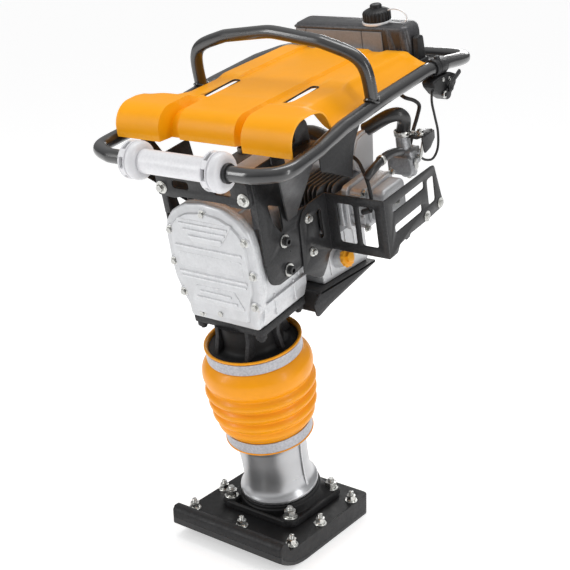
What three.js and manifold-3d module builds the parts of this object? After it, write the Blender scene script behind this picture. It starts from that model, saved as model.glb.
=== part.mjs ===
// Jumping jack rammer (upright tamping rammer), millimetres, +Z up.
// Row frame: origin at the centre of the shoe's ground face under the leg, +X to the operator's right
// as seen from the front of the machine's right-hand side, -Y to the front (roller end), +Z up.
// The leg leans forward by LEAN. Everything above the shoe is drawn in the leg frame (x, v, w):
// x = X, v = square to the leg towards the rear, w = along the leg.
import * as THREE from 'three';
import { mergeVertices } from 'three/addons/utils/BufferGeometryUtils.js';
import Module from 'manifold-3d';

const wasm = await Module();
wasm.setup();

// ---------------------------------------------------------------- driving dimensions
const LEAN = 12 * Math.PI / 180;   // forward lean of the leg
const SHOE_W = 285;                // shoe width
const SHOE_REAR = 122;             // shoe rear edge, Y
const SHOE_FRONT = -197;           // shoe toe, Y
const SHOE_TOP = 44.3;             // top face of the shoe
const LIP_TOP = 69;                // toe lip height
const SLEEVE_R = 72;               // polished leg sleeve radius
const CLAMP_LO_W = 197;            // lower bellows clamp centre
const CLAMP_UP_W = 391;            // upper bellows clamp centre
const BOOT_LO_R = 88;              // bellows cuff radii
const BOOT_UP_R = 95;
const CASE_BOTTOM = 479;           // gear case bottom, w
const CASE_FRONT = -70;            // gear cover front face, v
const GEAR_W = 556;                // crank gear centre, w
const PINION_X = -30;              // crankshaft and clutch axis
const PINION_W = 641.5;
const PLATE_X = 110;               // side plate inner face
const RAIL_W = 826;                // handle loop plane, w
const TUBE_R = 13.8;               // handle tube radius
const ROLLER_V = -108;             // roller axis
const ROLLER_W = 824;
const HOOP_V = 212;                // lifting hoop, v
const CAGE_V = 146;                // engine guard front face
const CAGE_X = 251;                // engine guard outer face
const GAP = 0.35;                  // working gap between touching pieces

// ---------------------------------------------------------------- helpers
function solid(geo) {
  const g = geo.clone();
  for (const k of Object.keys(g.attributes)) if (k !== 'position') g.deleteAttribute(k);
  const m = mergeVertices(g, 1e-3);
  const pos = m.attributes.position.array;
  const src = m.index.array;
  let vol = 0;
  const tri = [];
  for (let i = 0; i < src.length; i += 3) {
    const a = src[i], b = src[i + 1], c = src[i + 2];
    if (a === b || b === c || a === c) continue;
    tri.push(a, b, c);
    const ax = pos[3 * a], ay = pos[3 * a + 1], az = pos[3 * a + 2];
    const bx = pos[3 * b], by = pos[3 * b + 1], bz = pos[3 * b + 2];
    const cx = pos[3 * c], cy = pos[3 * c + 1], cz = pos[3 * c + 2];
    vol += ax * (by * cz - bz * cy) + ay * (bz * cx - bx * cz) + az * (bx * cy - by * cx);
  }
  if (vol < 0) for (let i = 0; i < tri.length; i += 3) { const t = tri[i]; tri[i] = tri[i + 1]; tri[i + 1] = t; }
  return new wasm.Manifold(new wasm.Mesh({
    numProp: 3, vertProperties: new Float32Array(pos), triVerts: new Uint32Array(tri),
  }));
}
function toGeometry(man) {
  const m = man.getMesh();
  const g = new THREE.BufferGeometry();
  g.setAttribute('position', new THREE.BufferAttribute(new Float32Array(m.vertProperties), 3));
  g.setIndex(new THREE.BufferAttribute(new Uint32Array(m.triVerts), 1));
  g.computeVertexNormals();
  return g;
}
const union = (...s) => s.reduce((a, b) => a.add(b));
const cut = (a, ...s) => s.reduce((p, q) => p.subtract(q), a);

function box(x0, x1, y0, y1, z0, z1) {
  const g = new THREE.BoxGeometry(x1 - x0, y1 - y0, z1 - z0);
  g.translate((x0 + x1) / 2, (y0 + y1) / 2, (z0 + z1) / 2);
  return solid(g);
}
function rodGeo(p, q, r, n = 24, r2 = r, spin = 0) {
  const a = new THREE.Vector3(...p), b = new THREE.Vector3(...q);
  const d = b.clone().sub(a);
  const g = new THREE.CylinderGeometry(r2, r, d.length(), n, 1, false, spin);
  g.translate(0, d.length() / 2, 0);
  g.applyQuaternion(new THREE.Quaternion().setFromUnitVectors(new THREE.Vector3(0, 1, 0), d.clone().normalize()));
  g.translate(a.x, a.y, a.z);
  return g;
}
const rod = (...a) => solid(rodGeo(...a));
// closed outline extruded along one axis: 'X' takes (v, w), 'Y' takes (x, w), 'Z' takes (x, v)
function prism(axis, pts, t0, t1, holes = [], bevel = 0) {
  const s = new THREE.Shape(pts.map((p) => new THREE.Vector2(p[0], p[1])));
  for (const h of holes) s.holes.push(new THREE.Path(h.map((p) => new THREE.Vector2(p[0], p[1]))));
  const opt = bevel > 0
    ? { depth: t1 - t0 - 2 * bevel, bevelEnabled: true, bevelThickness: bevel, bevelSize: bevel, bevelOffset: -bevel, bevelSegments: 1 }
    : { depth: t1 - t0, bevelEnabled: false };
  const g = new THREE.ExtrudeGeometry(s, opt);
  const a = g.attributes.position;
  for (let i = 0; i < a.count; i++) {
    const x = a.getX(i), y = a.getY(i), z = a.getZ(i) + t0 + bevel;
    if (axis === 'X') a.setXYZ(i, z, x, y);
    else if (axis === 'Y') a.setXYZ(i, x, z, y);
    else a.setXYZ(i, x, y, z);
  }
  return solid(g);
}
function arc(cx, cy, r, a0, a1, n) {
  const o = [];
  for (let i = 0; i <= n; i++) {
    const a = (a0 + (a1 - a0) * i / n) * Math.PI / 180;
    o.push([cx + r * Math.cos(a), cy + r * Math.sin(a)]);
  }
  return o;
}
const circle = (cx, cy, r, n) => arc(cx, cy, r, 0, 360 - 360 / n, n - 1);
function roundRect(x0, x1, y0, y1, r, n = 3) {
  return [...arc(x1 - r, y1 - r, r, 0, 90, n), ...arc(x0 + r, y1 - r, r, 90, 180, n),
    ...arc(x0 + r, y0 + r, r, 180, 270, n), ...arc(x1 - r, y0 + r, r, 270, 360, n)];
}
// outline with its corners rounded: pts [x, y, radius]
function filletPoly(pts, n = 3) {
  const out = [];
  const N = pts.length;
  for (let i = 0; i < N; i++) {
    const [x, y, r = 0] = pts[i];
    if (!r) { out.push([x, y]); continue; }
    const p = new THREE.Vector2(x, y);
    const a = new THREE.Vector2(...pts[(i + N - 1) % N]).sub(p);
    const b = new THREE.Vector2(...pts[(i + 1) % N]).sub(p);
    const la = a.length(), lb = b.length();
    a.normalize(); b.normalize();
    const half = Math.acos(Math.max(-1, Math.min(1, a.dot(b)))) / 2;
    const t = Math.min(r / Math.tan(half), la * 0.49, lb * 0.49);
    const p0 = p.clone().addScaledVector(a, t), p1 = p.clone().addScaledVector(b, t);
    for (let k = 0; k <= n; k++) {
      const u = k / n;
      out.push([(1 - u) ** 2 * p0.x + 2 * u * (1 - u) * p.x + u * u * p1.x,
        (1 - u) ** 2 * p0.y + 2 * u * (1 - u) * p.y + u * u * p1.y]);
    }
  }
  return out;
}
// ring or solid of revolution about the w axis: profile of [radius, w]
function lathe(profile, n = 36, x = 0, v = 0) {
  const g = new THREE.LatheGeometry(profile.map((p) => new THREE.Vector2(p[0], p[1])), n);
  g.rotateX(Math.PI / 2);
  g.translate(x, v, 0);
  return solid(g);
}
// the same about an axis parallel to X: profile of [radius, x]
function latheX(profile, n, v, w) {
  const g = new THREE.LatheGeometry(profile.map((p) => new THREE.Vector2(p[0], p[1])), n);
  g.rotateZ(-Math.PI / 2);
  g.translate(0, v, w);
  return solid(g);
}
// the same about an axis parallel to v: profile of [radius, v]
function latheV(profile, n, x, w) {
  const g = new THREE.LatheGeometry(profile.map((p) => new THREE.Vector2(p[0], p[1])), n);
  g.translate(x, 0, w);
  return solid(g);
}
function sweepGeo(points, r, n, steps, tension) {
  const curve = new THREE.CatmullRomCurve3(points.map((p) => new THREE.Vector3(...p)), false, 'centripetal', tension);
  const s = new THREE.Shape(circle(0, 0, r, n).map((p) => new THREE.Vector2(...p)));
  return new THREE.ExtrudeGeometry(s, { steps, bevelEnabled: false, extrudePath: curve });
}
const sweep = (...a) => solid(sweepGeo(...a));
// points of a bent tube: corners [x, v, w, bend radius]
function bent(pts, n = 4) {
  const out = [new THREE.Vector3(...pts[0].slice(0, 3))];
  for (let i = 1; i < pts.length - 1; i++) {
    const p = new THREE.Vector3(...pts[i].slice(0, 3));
    const a = new THREE.Vector3(...pts[i - 1].slice(0, 3)).sub(p), b = new THREE.Vector3(...pts[i + 1].slice(0, 3)).sub(p);
    const la = a.length(), lb = b.length();
    a.normalize(); b.normalize();
    const half = Math.acos(Math.max(-1, Math.min(1, a.dot(b)))) / 2;
    const t = Math.min(pts[i][3] / Math.tan(half), la * 0.48, lb * 0.48);
    const p0 = p.clone().addScaledVector(a, t), p1 = p.clone().addScaledVector(b, t);
    for (let k = 0; k <= n; k++) {
      const u = k / n;
      out.push(new THREE.Vector3()
        .addScaledVector(p0, (1 - u) ** 2).addScaledVector(p, 2 * u * (1 - u)).addScaledVector(p1, u * u));
    }
  }
  out.push(new THREE.Vector3(...pts[pts.length - 1].slice(0, 3)));
  // extra points on the long straights keep them straight
  const dense = [];
  for (let i = 0; i < out.length - 1; i++) {
    dense.push(out[i]);
    const L = out[i].distanceTo(out[i + 1]);
    const k = Math.floor(L / 55);
    for (let j = 1; j <= k; j++) dense.push(out[i].clone().lerp(out[i + 1], j / (k + 1)));
  }
  dense.push(out[out.length - 1]);
  return dense.map((p) => [p.x, p.y, p.z]);
}

const MAT = {
  blackPaint: [0x1b1b1c, 0.42, 0.25], blackPlastic: [0x202022, 0.55, 0.0], castBlack: [0x202021, 0.6, 0.3],
  steel: [0x9a9ca0, 0.35, 1.0], zinc: [0xb9bbb8, 0.32, 1.0], alu: [0xc9cbcc, 0.42, 1.0], aluPolish: [0xd0d1d2, 0.22, 1.0],
  orange: [0xf5a11a, 0.38, 0.0], orangeRubber: [0xf3a21c, 0.5, 0.0], white: [0xe9e9ea, 0.4, 0.0], rubber: [0x171717, 0.8, 0.0],
  greyPlastic: [0x6f7072, 0.5, 0.0], greyDark: [0x3b3b3d, 0.5, 0.1], clamp: [0xa9abae, 0.35, 0.9], tankGrey: [0x333336, 0.5, 0.0], shoeBlack: [0x1a1a1b, 0.5, 0.0],
};
const machine = new THREE.Group();
machine.position.set(0, 0, SHOE_TOP);
machine.rotation.x = LEAN;
const rammer = new THREE.Group();
rammer.add(machine);
function put(parent, name, man, mat) {
  const [c, r, m] = MAT[mat];
  const mesh = new THREE.Mesh(toGeometry(man), new THREE.MeshStandardMaterial({ color: c, roughness: r, metalness: m }));
  mesh.name = name;
  parent.add(mesh);
}
const add = (name, man, mat) => put(machine, name, man, mat);

// ================================================================ shoe (row frame)
const HW = SHOE_W / 2;
const footprint = prism('Z', filletPoly([[-HW, SHOE_FRONT, 5], [HW, SHOE_FRONT, 5], [HW, SHOE_REAR, 15], [-HW, SHOE_REAR, 15]], 2), -5, 90);
const shoeStuds = [[-128.5, -141], [0, -141], [128.5, -141], [-128.5, -42], [128.5, -42], [-128.5, 73], [0, 105], [128.5, 73]];
{
  // steel wear plate under the shoe, turned up at the toe, with its welded studs and their nuts
  let wear = prism('X', [[SHOE_REAR, 0], [-112, 0], [-140, 4], [-165, 13], [-182, 22], [SHOE_FRONT, 32], [SHOE_FRONT, 46],
    [-190, 46], [-188, 37], [-176, 28], [-161, 19.5], [-138, 11], [-111, 7], [SHOE_REAR, 7]], -HW, HW).intersect(footprint);
  for (const [x, y] of shoeStuds) {
    wear = union(wear, rod([x, y, 3], [x, y, SHOE_TOP + 21], 5.5, 6), rod([x, y, SHOE_TOP + 0.4], [x, y, SHOE_TOP + 13], 11, 6));
  }
  put(rammer, 'wear_plate', wear, 'blackPaint');
  let shoe = prism('X', [[SHOE_REAR, 7.3], [-111, 7.3], [-138, 11.3], [-161, 19.8], [-175.7, 28.3], [-187.6, 37.3], [-189.6, 46.6],
    [SHOE_FRONT, 46.6], [SHOE_FRONT, 62], [-187, LIP_TOP], [-174, LIP_TOP - 1], [-165, SHOE_TOP], [SHOE_REAR, SHOE_TOP]], -HW, HW)
    .intersect(footprint);
  for (const [x, y] of shoeStuds) shoe = cut(shoe, rod([x, y, -2], [x, y, SHOE_TOP + 5], 6.4, 6));
  put(rammer, 'shoe', shoe, 'shoeBlack');
}

// ================================================================ foot casting
const footBolts = [[-78, -78], [78, -78], [-78, 70], [78, 70]];
{
  // square base with raised corner pads on the shoe, and a round collar square to the leg
  const base = prism('Z', roundRect(-97, 97, -98, 90, 26, 3), SHOE_TOP + GAP, SHOE_TOP + 12);
  let pads = base;
  for (const [x, y] of footBolts) pads = union(pads, rod([x, y, SHOE_TOP + 5], [x, y, SHOE_TOP + 16], 17, 10, 15));
  // collar, drawn in the leg frame then turned into the row frame
  const toRow = (g) => { g.rotateX(LEAN); g.translate(0, 0, SHOE_TOP); return g; };
  const collar = solid(toRow(rodGeo([0, 0, -10], [0, 0, 46], 89, 26, 83)));
  const bore = solid(toRow(rodGeo([0, 0, 22], [0, 0, 70], 60.6, 20)));
  const trim = box(-200, 200, -200, 200, -60, SHOE_TOP + GAP);
  let foot = cut(union(pads, collar), bore, trim);
  for (const [x, y] of footBolts) foot = cut(foot, rod([x, y, SHOE_TOP - 5], [x, y, SHOE_TOP + 60], 7, 6));
  put(rammer, 'foot_casting', foot, 'castBlack');
  const names = ['foot_bolt_front_left', 'foot_bolt_front_right', 'foot_bolt_rear_left', 'foot_bolt_rear_right'];
  footBolts.forEach(([x, y], i) => {
    put(rammer, names[i], union(rod([x, y, SHOE_TOP + GAP], [x, y, SHOE_TOP + 38], 6, 6),
      rod([x, y, SHOE_TOP + 16.4], [x, y, SHOE_TOP + 19.5], 15, 12),
      rod([x, y, SHOE_TOP + 19], [x, y, SHOE_TOP + 31], 12.5, 6)), 'zinc');
  });
}

// ================================================================ leg (leg frame from here on)
// polished outer sleeve with its foot ring and the cuff for the bellows
add('leg_sleeve', lathe([[61, 46.4], [82.5, 46.4], [83, 54], [77, 62], [71, 76], [SLEEVE_R - 2, 95], [SLEEVE_R, 135],
  [SLEEVE_R + 3, 174], [81, 181], [83, 185], [83, 208], [61, 208], [61, 46.4]], 24), 'aluPolish');
// inner spring cylinder
add('spring_cylinder', lathe([[0, 22.4], [59.5, 22.4], [59.5, 60], [52, 61], [52, 330], [46, 330], [46, 66], [0, 66], [0, 22.4]], 24), 'steel');
// springs as coils between the end faces and the piston
function coil(w0, w1, turns, R, r) {
  const pts = [];
  const n = turns * 7;
  for (let i = 0; i <= n; i++) {
    const a = i / n * turns * 2 * Math.PI;
    pts.push([R * Math.cos(a), R * Math.sin(a), w0 + r + (w1 - w0 - 2 * r) * i / n]);
  }
  return sweep(pts, r, 5, turns * 8);
}
add('spring_lower', coil(67.5, 186, 4, 36, 5), 'steel');
add('spring_upper', coil(213, 318, 4, 36, 5), 'steel');
add('spring_cap', lathe([[15, 320], [45.4, 320], [45.4, 329], [15, 329], [15, 320]], 24), 'steel');
// piston, piston rod and connecting rod, pinned as one at the small end
{
  const piston = union(lathe([[0, 188], [44.8, 188], [44.8, 211], [0, 211], [0, 188]], 24), rod([0, 0, 205], [0, 0, 486], 13.5, 16));
  const eye = prism('Y', circle(0, 526, 21, 20), -8, 8, [circle(0, 526, 11, 14)]);
  const blade = prism('Y', [[-11, 480], [11, 480], [8, 508], [-8, 508]], -8, 8);
  add('piston_and_rod', union(piston, blade, eye), 'steel');
}

// ================================================================ bellows and clamps
{
  const o = [[BOOT_LO_R, 186], [BOOT_LO_R, 208], [91, 215], [101, 228], [99.5, 240], [108.5, 253], [102, 266], [112, 280], [104.5, 292],
    [114.5, 306], [106.5, 321], [112.5, 338], [113, 352], [105, 371], [BOOT_UP_R, 380], [BOOT_UP_R, 405]];
  const i = [[91.8, 405], [91.8, 379], [101, 370], [108, 351], [107.5, 338], [101, 321], [108.5, 306], [99, 292], [106.5, 280], [97, 266], [103, 253], [94.5, 240], [96, 228], [87, 216], [84.4, 209], [84.4, 186], [BOOT_LO_R, 186]];
  add('bellows', lathe([...o, ...i], 24), 'orangeRubber');
}
function clampBand(name, w, r) {
  const band = lathe([[r + 0.4, w - 9], [r + 2.4, w - 9], [r + 2.4, w + 9], [r + 0.4, w + 9], [r + 0.4, w - 9]], 24);
  // worm screw housing at the back
  const lug = cut(box(-13, 13, r + 1.5, r + 13, w - 7, w + 7), rod([0, 0, w - 12], [0, 0, w + 12], r + 0.6, 24));
  add(name, union(band, lug), 'clamp');
}
clampBand('lower_clamp', CLAMP_LO_W, BOOT_LO_R);
clampBand('upper_clamp', CLAMP_UP_W, BOOT_UP_R);

// ================================================================ guide cylinder, neck and base flange
{
  const disc = lathe([[53, 382], [90, 382], [90, 398], [60, 402], [53, 402], [53, 382]], 24);
  const tube = lathe([[53, 234], [58, 234], [58, CASE_BOTTOM - GAP], [53, CASE_BOTTOM - GAP], [53, 234]], 20);
  const neck = lathe([[53, 396], [66, 396], [60, 412], [60, 452], [70, 465], [53, 465], [53, 396]], 20);
  const flange = prism('Z', [[-84, -62], [84, -62], [84, 78], [-84, 78]], 463.5, CASE_BOTTOM - GAP);
  let g = union(disc, tube, neck, flange);
  for (const [sx, sv] of [[-1, -1], [1, -1], [-1, 1], [1, 1]]) {
    const rib = prism('X', [[sv * 77, 399], [sv * 40, 399], [sv * 40, 468], [sv * 60, 468]], sx * 40 - 4.5, sx * 40 + 4.5);
    g = union(g, rib);
  }
  for (const s of [-1, 1]) g = union(g, prism('Y', [[s * 84, 399], [s * 50, 399], [s * 50, 468], [s * 76, 468]], -5, 5));
  g = cut(g, rod([0, 0, 220], [0, 0, 492], 53.4, 20));
  // flange screws under the corners
  for (const [x, v] of [[-72, -50], [72, -50], [-72, 66], [72, 66]]) g = union(g, rod([x, v, 455], [x, v, 467], 8, 6));
  add('guide_cylinder', g, 'castBlack');
}

// ================================================================ gear case
const caseOutline = (inset) => filletPoly([
  [-84 + inset, CASE_BOTTOM + inset, 6], [84 - inset, CASE_BOTTOM + inset, 6], [85 - inset, 500 + inset * 0.4, 6], [104 - inset, 514 + inset * 0.4, 8],
  [108.5 - inset, 560, 30], [108.5 - inset, 652, 30], [101 - inset, 684 - inset * 0.3, 26], [62 - inset * 0.5, 717 - inset, 30], [0, 729 - inset, 60],
  [-62 + inset * 0.5, 717 - inset, 30], [-101 + inset, 684 - inset * 0.3, 26], [-108.5 + inset, 652, 30], [-108.5 + inset, 560, 30],
  [-104 + inset, 514 + inset * 0.4, 8], [-85 + inset, 500 + inset * 0.4, 6]], 2);
{
  const flange = prism('Y', caseOutline(0), -58, -48);
  const bodyOutline = filletPoly([[-84, CASE_BOTTOM, 5], [84, CASE_BOTTOM, 5], [94, 510, 15], [95, 650, 30], [88, 690, 20], [55, 712, 20], [-55, 712, 20],
    [-88, 690, 20], [-95, 650, 30], [-94, 510, 15]], 2);
  const body = prism('Y', bodyOutline, -50, 85);
  const cavity = prism('Y', filletPoly([[-77, CASE_BOTTOM + 4, 5], [77, CASE_BOTTOM + 4, 5], [87, 513, 15], [88, 648, 30], [82, 684, 20], [50, 704, 20], [-50, 704, 20],
    [-82, 684, 20], [-88, 648, 30], [-87, 513, 15]], 2), -60, 77);
  let c = cut(union(flange, body), cavity, rod([0, 0, 470], [0, 0, 495], 20, 20), rod([PINION_X, 70, PINION_W], [PINION_X, 90, PINION_W], 50, 20));
  // cooling ribs on both flanks and bosses for the frame mounts
  for (const s of [-1, 1]) {
    for (const w of [606, 530]) c = union(c, box(Math.min(s * 92, s * 98), Math.max(s * 92, s * 98), -46, 80, w - 2, w + 2));
    for (const w of [638, 578]) c = union(c, rod([s * 88, 9.5, w], [s * 98.5, 9.5, w], 15, 12));
  }
  add('gearcase', c, 'alu');
}
{
  let cover = union(prism('Y', caseOutline(0), -64, -58 - GAP), prism('Y', caseOutline(9), CASE_FRONT, -62));
  // raised panels: upper and lower trapezoids and the cross bands
  const raise = (pts, t = 2.4) => prism('Y', pts, CASE_FRONT - t, CASE_FRONT + 1);
  cover = union(cover, raise([[-70, 690], [-52, 654], [52, 654], [70, 690], [44, 704], [-44, 704]]),
    raise([[-94, 648], [94, 648], [94, 640], [-94, 640]]), raise([[-92, 566], [92, 566], [92, 558], [-92, 558]]),
    raise([[-56, 552], [56, 552], [74, 512], [-74, 512]]));
  for (const [x, w] of [[0, 716], [-94, 662], [94, 662], [-99, 600], [99, 600], [-97, 530], [97, 530], [-40, 491], [40, 491]]) {
    cover = union(cover, rod([x, -66, w], [x, CASE_FRONT - 6, w], 6.4, 6));
  }
  add('gearcase_cover', cover, 'alu');
}

// ================================================================ gears and clutch
function gearOutline(teeth, rp, add_, ded, phase) {
  const out = [];
  const p = 2 * Math.PI / teeth;
  for (let i = 0; i < teeth; i++) {
    const a = phase + i * p;
    for (const [r, f] of [[rp - ded, -0.27], [rp + add_, -0.12], [rp + add_, 0.12], [rp - ded, 0.27]]) {
      out.push([r * Math.cos(a + f * p), r * Math.sin(a + f * p)]);
    }
  }
  return out;
}
const BULL_T = 24, PIN_T = 8, BULL_R = 67.8, PIN_R = 22.6;
const dirA = Math.atan2(PINION_W - GEAR_W, PINION_X);
{
  // crank gear: a tooth of the pinion meets a gap of the gear on the line of centres
  const teeth = gearOutline(BULL_T, BULL_R, 2.6, 3.6, dirA + Math.PI / BULL_T).map(([x, y]) => [x, y + GEAR_W]);
  const holes = [90, 210, 330].map((a) => circle(40 * Math.cos(a * Math.PI / 180), GEAR_W + 40 * Math.sin(a * Math.PI / 180), 13, 8));
  let gear = prism('Y', teeth, 17, 33, holes);
  gear = union(gear, rod([0, 30, GEAR_W], [0, 76, GEAR_W], 14, 16), rod([0, 31, GEAR_W], [0, 44, GEAR_W], 24, 20),
    rod([0, 20, 526], [0, 8.6, 526], 10, 14));
  add('crank_gear', gear, 'steel');
  const pt = gearOutline(PIN_T, PIN_R, 2.6, 3.6, dirA + Math.PI).map(([x, y]) => [x + PINION_X, y + PINION_W]);
  let drum = union(prism('Y', pt, 15, 35), rod([PINION_X, -20, PINION_W], [PINION_X, 50, PINION_W], 10, 14),
    latheV([[0, 44], [47, 44], [47, 76], [42.5, 76], [42.5, 49], [0, 49], [0, 44]], 28, PINION_X, PINION_W));
  add('clutch_drum', drum, 'steel');
  // crankshaft with the centrifugal clutch shoes on its end
  let rotor = rod([PINION_X, 52, PINION_W], [PINION_X, 285, PINION_W], 11, 14);
  for (const s of [-1, 1]) {
    const shoe = prism('Y', [...arc(PINION_X, PINION_W, 40.5, s > 0 ? 12 : 192, s > 0 ? 168 : 348, 8), ...arc(PINION_X, PINION_W, 14, s > 0 ? 168 : 348, s > 0 ? 12 : 192, 5)], 53, 72);
    rotor = union(rotor, shoe);
  }
  rotor = union(rotor, rod([PINION_X, 60, PINION_W], [PINION_X, 72, PINION_W], 18, 16), rod([PINION_X, 255, PINION_W], [PINION_X, 285, PINION_W], 52, 24));
  add('crankshaft_and_clutch', rotor, 'steel');
}

// ================================================================ engine
const ENG_V0 = 122, ENG_V1 = 292;
{
  // clutch housing and crankcase with its sump
  const housing = latheV([[0, 85.5], [62, 85.5], [62, 92], [56, 100], [56, 124], [0, 124], [0, 85.5]], 28, PINION_X, PINION_W);
  const caseA = prism('Y', filletPoly([[-98, 560, 10], [45, 560, 4], [45, 706, 12], [-70, 706, 20], [-98, 680, 20]], 2), ENG_V0, ENG_V1);
  const sump = prism('X', [[122, 484.2], [282, 463.4], [282, 575], [122, 575]], -90, 104);
  const filler = rod([100, 176, 513], [124, 176, 521], 17, 16, 15);
  let block = union(housing, caseA, sump, filler);
  const well = latheV([[0, 80], [49, 80], [49, 90], [16, 90], [16, 254], [57, 254], [57, 300], [0, 300], [0, 80]], 24, PINION_X, PINION_W);
  block = cut(block, well);
  add('engine_block', block, 'alu');
}
{
  // cylinder lying across the machine, with cooling fins, and the head
  let cyl = box(45.4, 186, 152.5, 240, 604, 668);
  for (let i = 0; i < 8; i++) { const x = 54 + i * 10.4; cyl = union(cyl, prism('X', roundRect(i < 6 ? 134 : 153, 254, 584, 687, 8, 1), x, x + 3.4)); }
  cyl = union(cyl, prism('X', roundRect(162, 282, 590, 684, 8, 1), 144, 190));
  for (const [v, w] of [[170, 598], [274, 598], [170, 676], [274, 676]]) cyl = union(cyl, rod([186, v, w], [196, v, w], 6, 6));
  add('cylinder_and_head', cyl, 'alu');
  add('valve_cover', prism('X', roundRect(180, 268, 602, 678, 14, 2), 190.4, 226, [], 5), 'alu');
}
add('spark_plug_cap', union(rod([192.5, 158.5, 640], [212, 158.5, 648], 5.8, 10), rod([196, 158.5, 641.4], [205, 158.5, 645.2], 6.4, 10)), 'rubber');
{
  // fan housing and recoil starter at the rear
  const fan = latheV([[16, 292.5], [86, 292.5], [88, 300], [84, 334], [70, 346], [40, 350], [16, 350], [16, 292.5]], 28, PINION_X, PINION_W);
  add('recoil_cover', fan, 'blackPlastic');
  add('recoil_handle', union(rod([-2, 352, 700], [-2, 366, 700], 5, 8), prism('X', roundRect(364, 376, 684, 716, 5, 1), -14, 10)), 'rubber');
}
// exhaust silencer on the far side
{
  const can = prism('X', roundRect(176, 280, 606, 694, 26, 3), -168, -112);
  const pipe = rod([-113, 228, 650], [-98.4, 228, 650], 14, 14);
  const tail = rod([-150, 236, 690], [-150, 236, 704], 11, 12);
  add('muffler', union(can, pipe, tail), 'greyDark');
}
// carburettor on its insulator behind the head, with the choke lever
{
  const body = box(168, 210, 316, 356, 664, 700);
  const inlet = rod([186, 333, 694], [186, 333, 726], 14.5, 18);
  const bowl = rod([190, 336.5, 640], [190, 336.5, 668], 17.2, 18);
  const flange = box(160, 214, 306.8, 318, 652, 690);
  add('carburettor', union(body, inlet, bowl, flange), 'alu');
  add('choke_lever', union(rod([210.5, 340, 682], [216, 340, 682], 8, 12), prism('X', [[336, 680], [344, 680], [362, 708], [356, 713]], 213, 216)), 'zinc');
}
add('oil_filler_cap', union(rod([124.6, 176, 521.4], [132.6, 176, 524], 18, 12, 17), rod([131.6, 176, 523.7], [139.6, 176, 526.4], 10, 6)), 'orange');
{
  const eng = prism('X', [[88, 488], [287, 462], [287, 456], [88, 482]], -92, 119);
  const lip = prism('X', [[88, 490], [94, 490], [94, 452], [88, 452]], -60, 60);
  // side flanges, deep at the front and tapering to the rear
  const f = [[88, 488], [284, 462.4], [284, 458], [112, 448], [66, 440], [64, 470], [88, 472]];
  add('engine_plate', union(cut(eng, box(-60, 60, 80, 88.1, 400, 500)), lip, prism('X', f, 116, 119), prism('X', f, -92, -89)), 'blackPaint');
}
add('engine_mount_block', prism('X', filletPoly([[94.4, 478.8], [142, 472.6], [130, 434, 6], [98, 428, 6]], 2), 44, 102), 'rubber');

// ================================================================ side plates, cross plate, mounts
function sidePlate(s) {
  const x0 = PLATE_X, x1 = PLATE_X + 5;
  const outline = filletPoly([[-46, 800], [-52, 608, 8], [-46, 574, 14], [-22, 564, 16], [30, 561, 14], [50, 563, 8], [104, 563, 6], [104, 672, 6], [60, 676, 10], [46, 800]], 3);
  const slot = filletPoly([[-20, 724, 3], [14, 706, 3], [14, 664, 5], [6, 657, 4], [-12, 684, 6]], 2);
  const holes = [slot, circle(9.5, 638, 7.5, 12), circle(9.5, 578, 7.5, 12), circle(84, 650, 4.5, 8), circle(84, 580, 4.5, 8)];
  const p = prism('X', outline, x0, x1, holes);
  let m = p;
  if (s < 0) m = m.mirror([1, 0, 0]);
  return m;
}
add('side_plate_right', sidePlate(1), 'blackPaint');
add('side_plate_left', sidePlate(-1), 'blackPaint');
for (const s of [1, -1]) {
  [[638, 'upper'], [578, 'lower']].forEach(([w, n]) => {
    const m = union(latheX([[0, 98.9], [16, 98.9], [16, 109.6], [0, 109.6], [0, 98.9]], 14, 9.5, w), rod([108, 9.5, w], [117, 9.5, w], 6.8, 8),
      rod([115.4, 9.5, w], [124, 9.5, w], 10.5, 6));
    add('frame_mount_' + n + (s > 0 ? '_right' : '_left'), s > 0 ? m : m.mirror([1, 0, 0]), 'rubber');
  });
}
{
  // cross plate between the side plates, above the gear case
  const outline = filletPoly([[-109.5, 782, 4], [109.5, 782, 4], [109.5, 737, 4], [70, 734], [50, 738], [-50, 738], [-70, 734], [-109.5, 737, 4]], 2);
  let p = prism('Y', outline, -62, -57);
  for (const s of [-1, 1]) p = union(p, rod([s * 98, -70, 752], [s * 98, -60, 752], 9, 6));
  // return flanges to the side plates
  for (const s of [-1, 1]) p = union(p, box(Math.min(s * 105, s * 109.5), Math.max(s * 105, s * 109.5), -58, -20, 740, 780));
  add('cross_plate', p, 'blackPaint');
}

// ================================================================ handle loop and hoop
{
  const side = (s) => [[s * 88.5, ROLLER_V, 824, 0], [s * 165, ROLLER_V - 1, 825, 30], [s * 223, -91, RAIL_W, 50], [s * 216, 20, RAIL_W, 60], [s * 207, 110, 831, 80],
    [s * 207, 250, 836, 120], [s * 207, 400, 834, 100], [s * 208, 490, 824, 70], [s * 211, 592, 803, 46]];
  const R = side(1), L = side(-1).reverse();
  add('handle_loop', sweep(bent([...R, ...L], 4), TUBE_R, 8, 66), 'blackPaint');
  // hoop over the cover, feet welded on the rails
  const F = 836 + TUBE_R + GAP;
  add('lifting_hoop', sweep(bent([[207, HOOP_V, F, 0], [206, HOOP_V - 4, 925, 64], [112, HOOP_V - 8, 953, 50], [0, HOOP_V - 8, 964, 120], [-112, HOOP_V - 8, 953, 50], [-206, HOOP_V - 4, 925, 64], [-207, HOOP_V, F, 0]], 4), 12.6, 8, 30), 'blackPaint');
}
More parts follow.
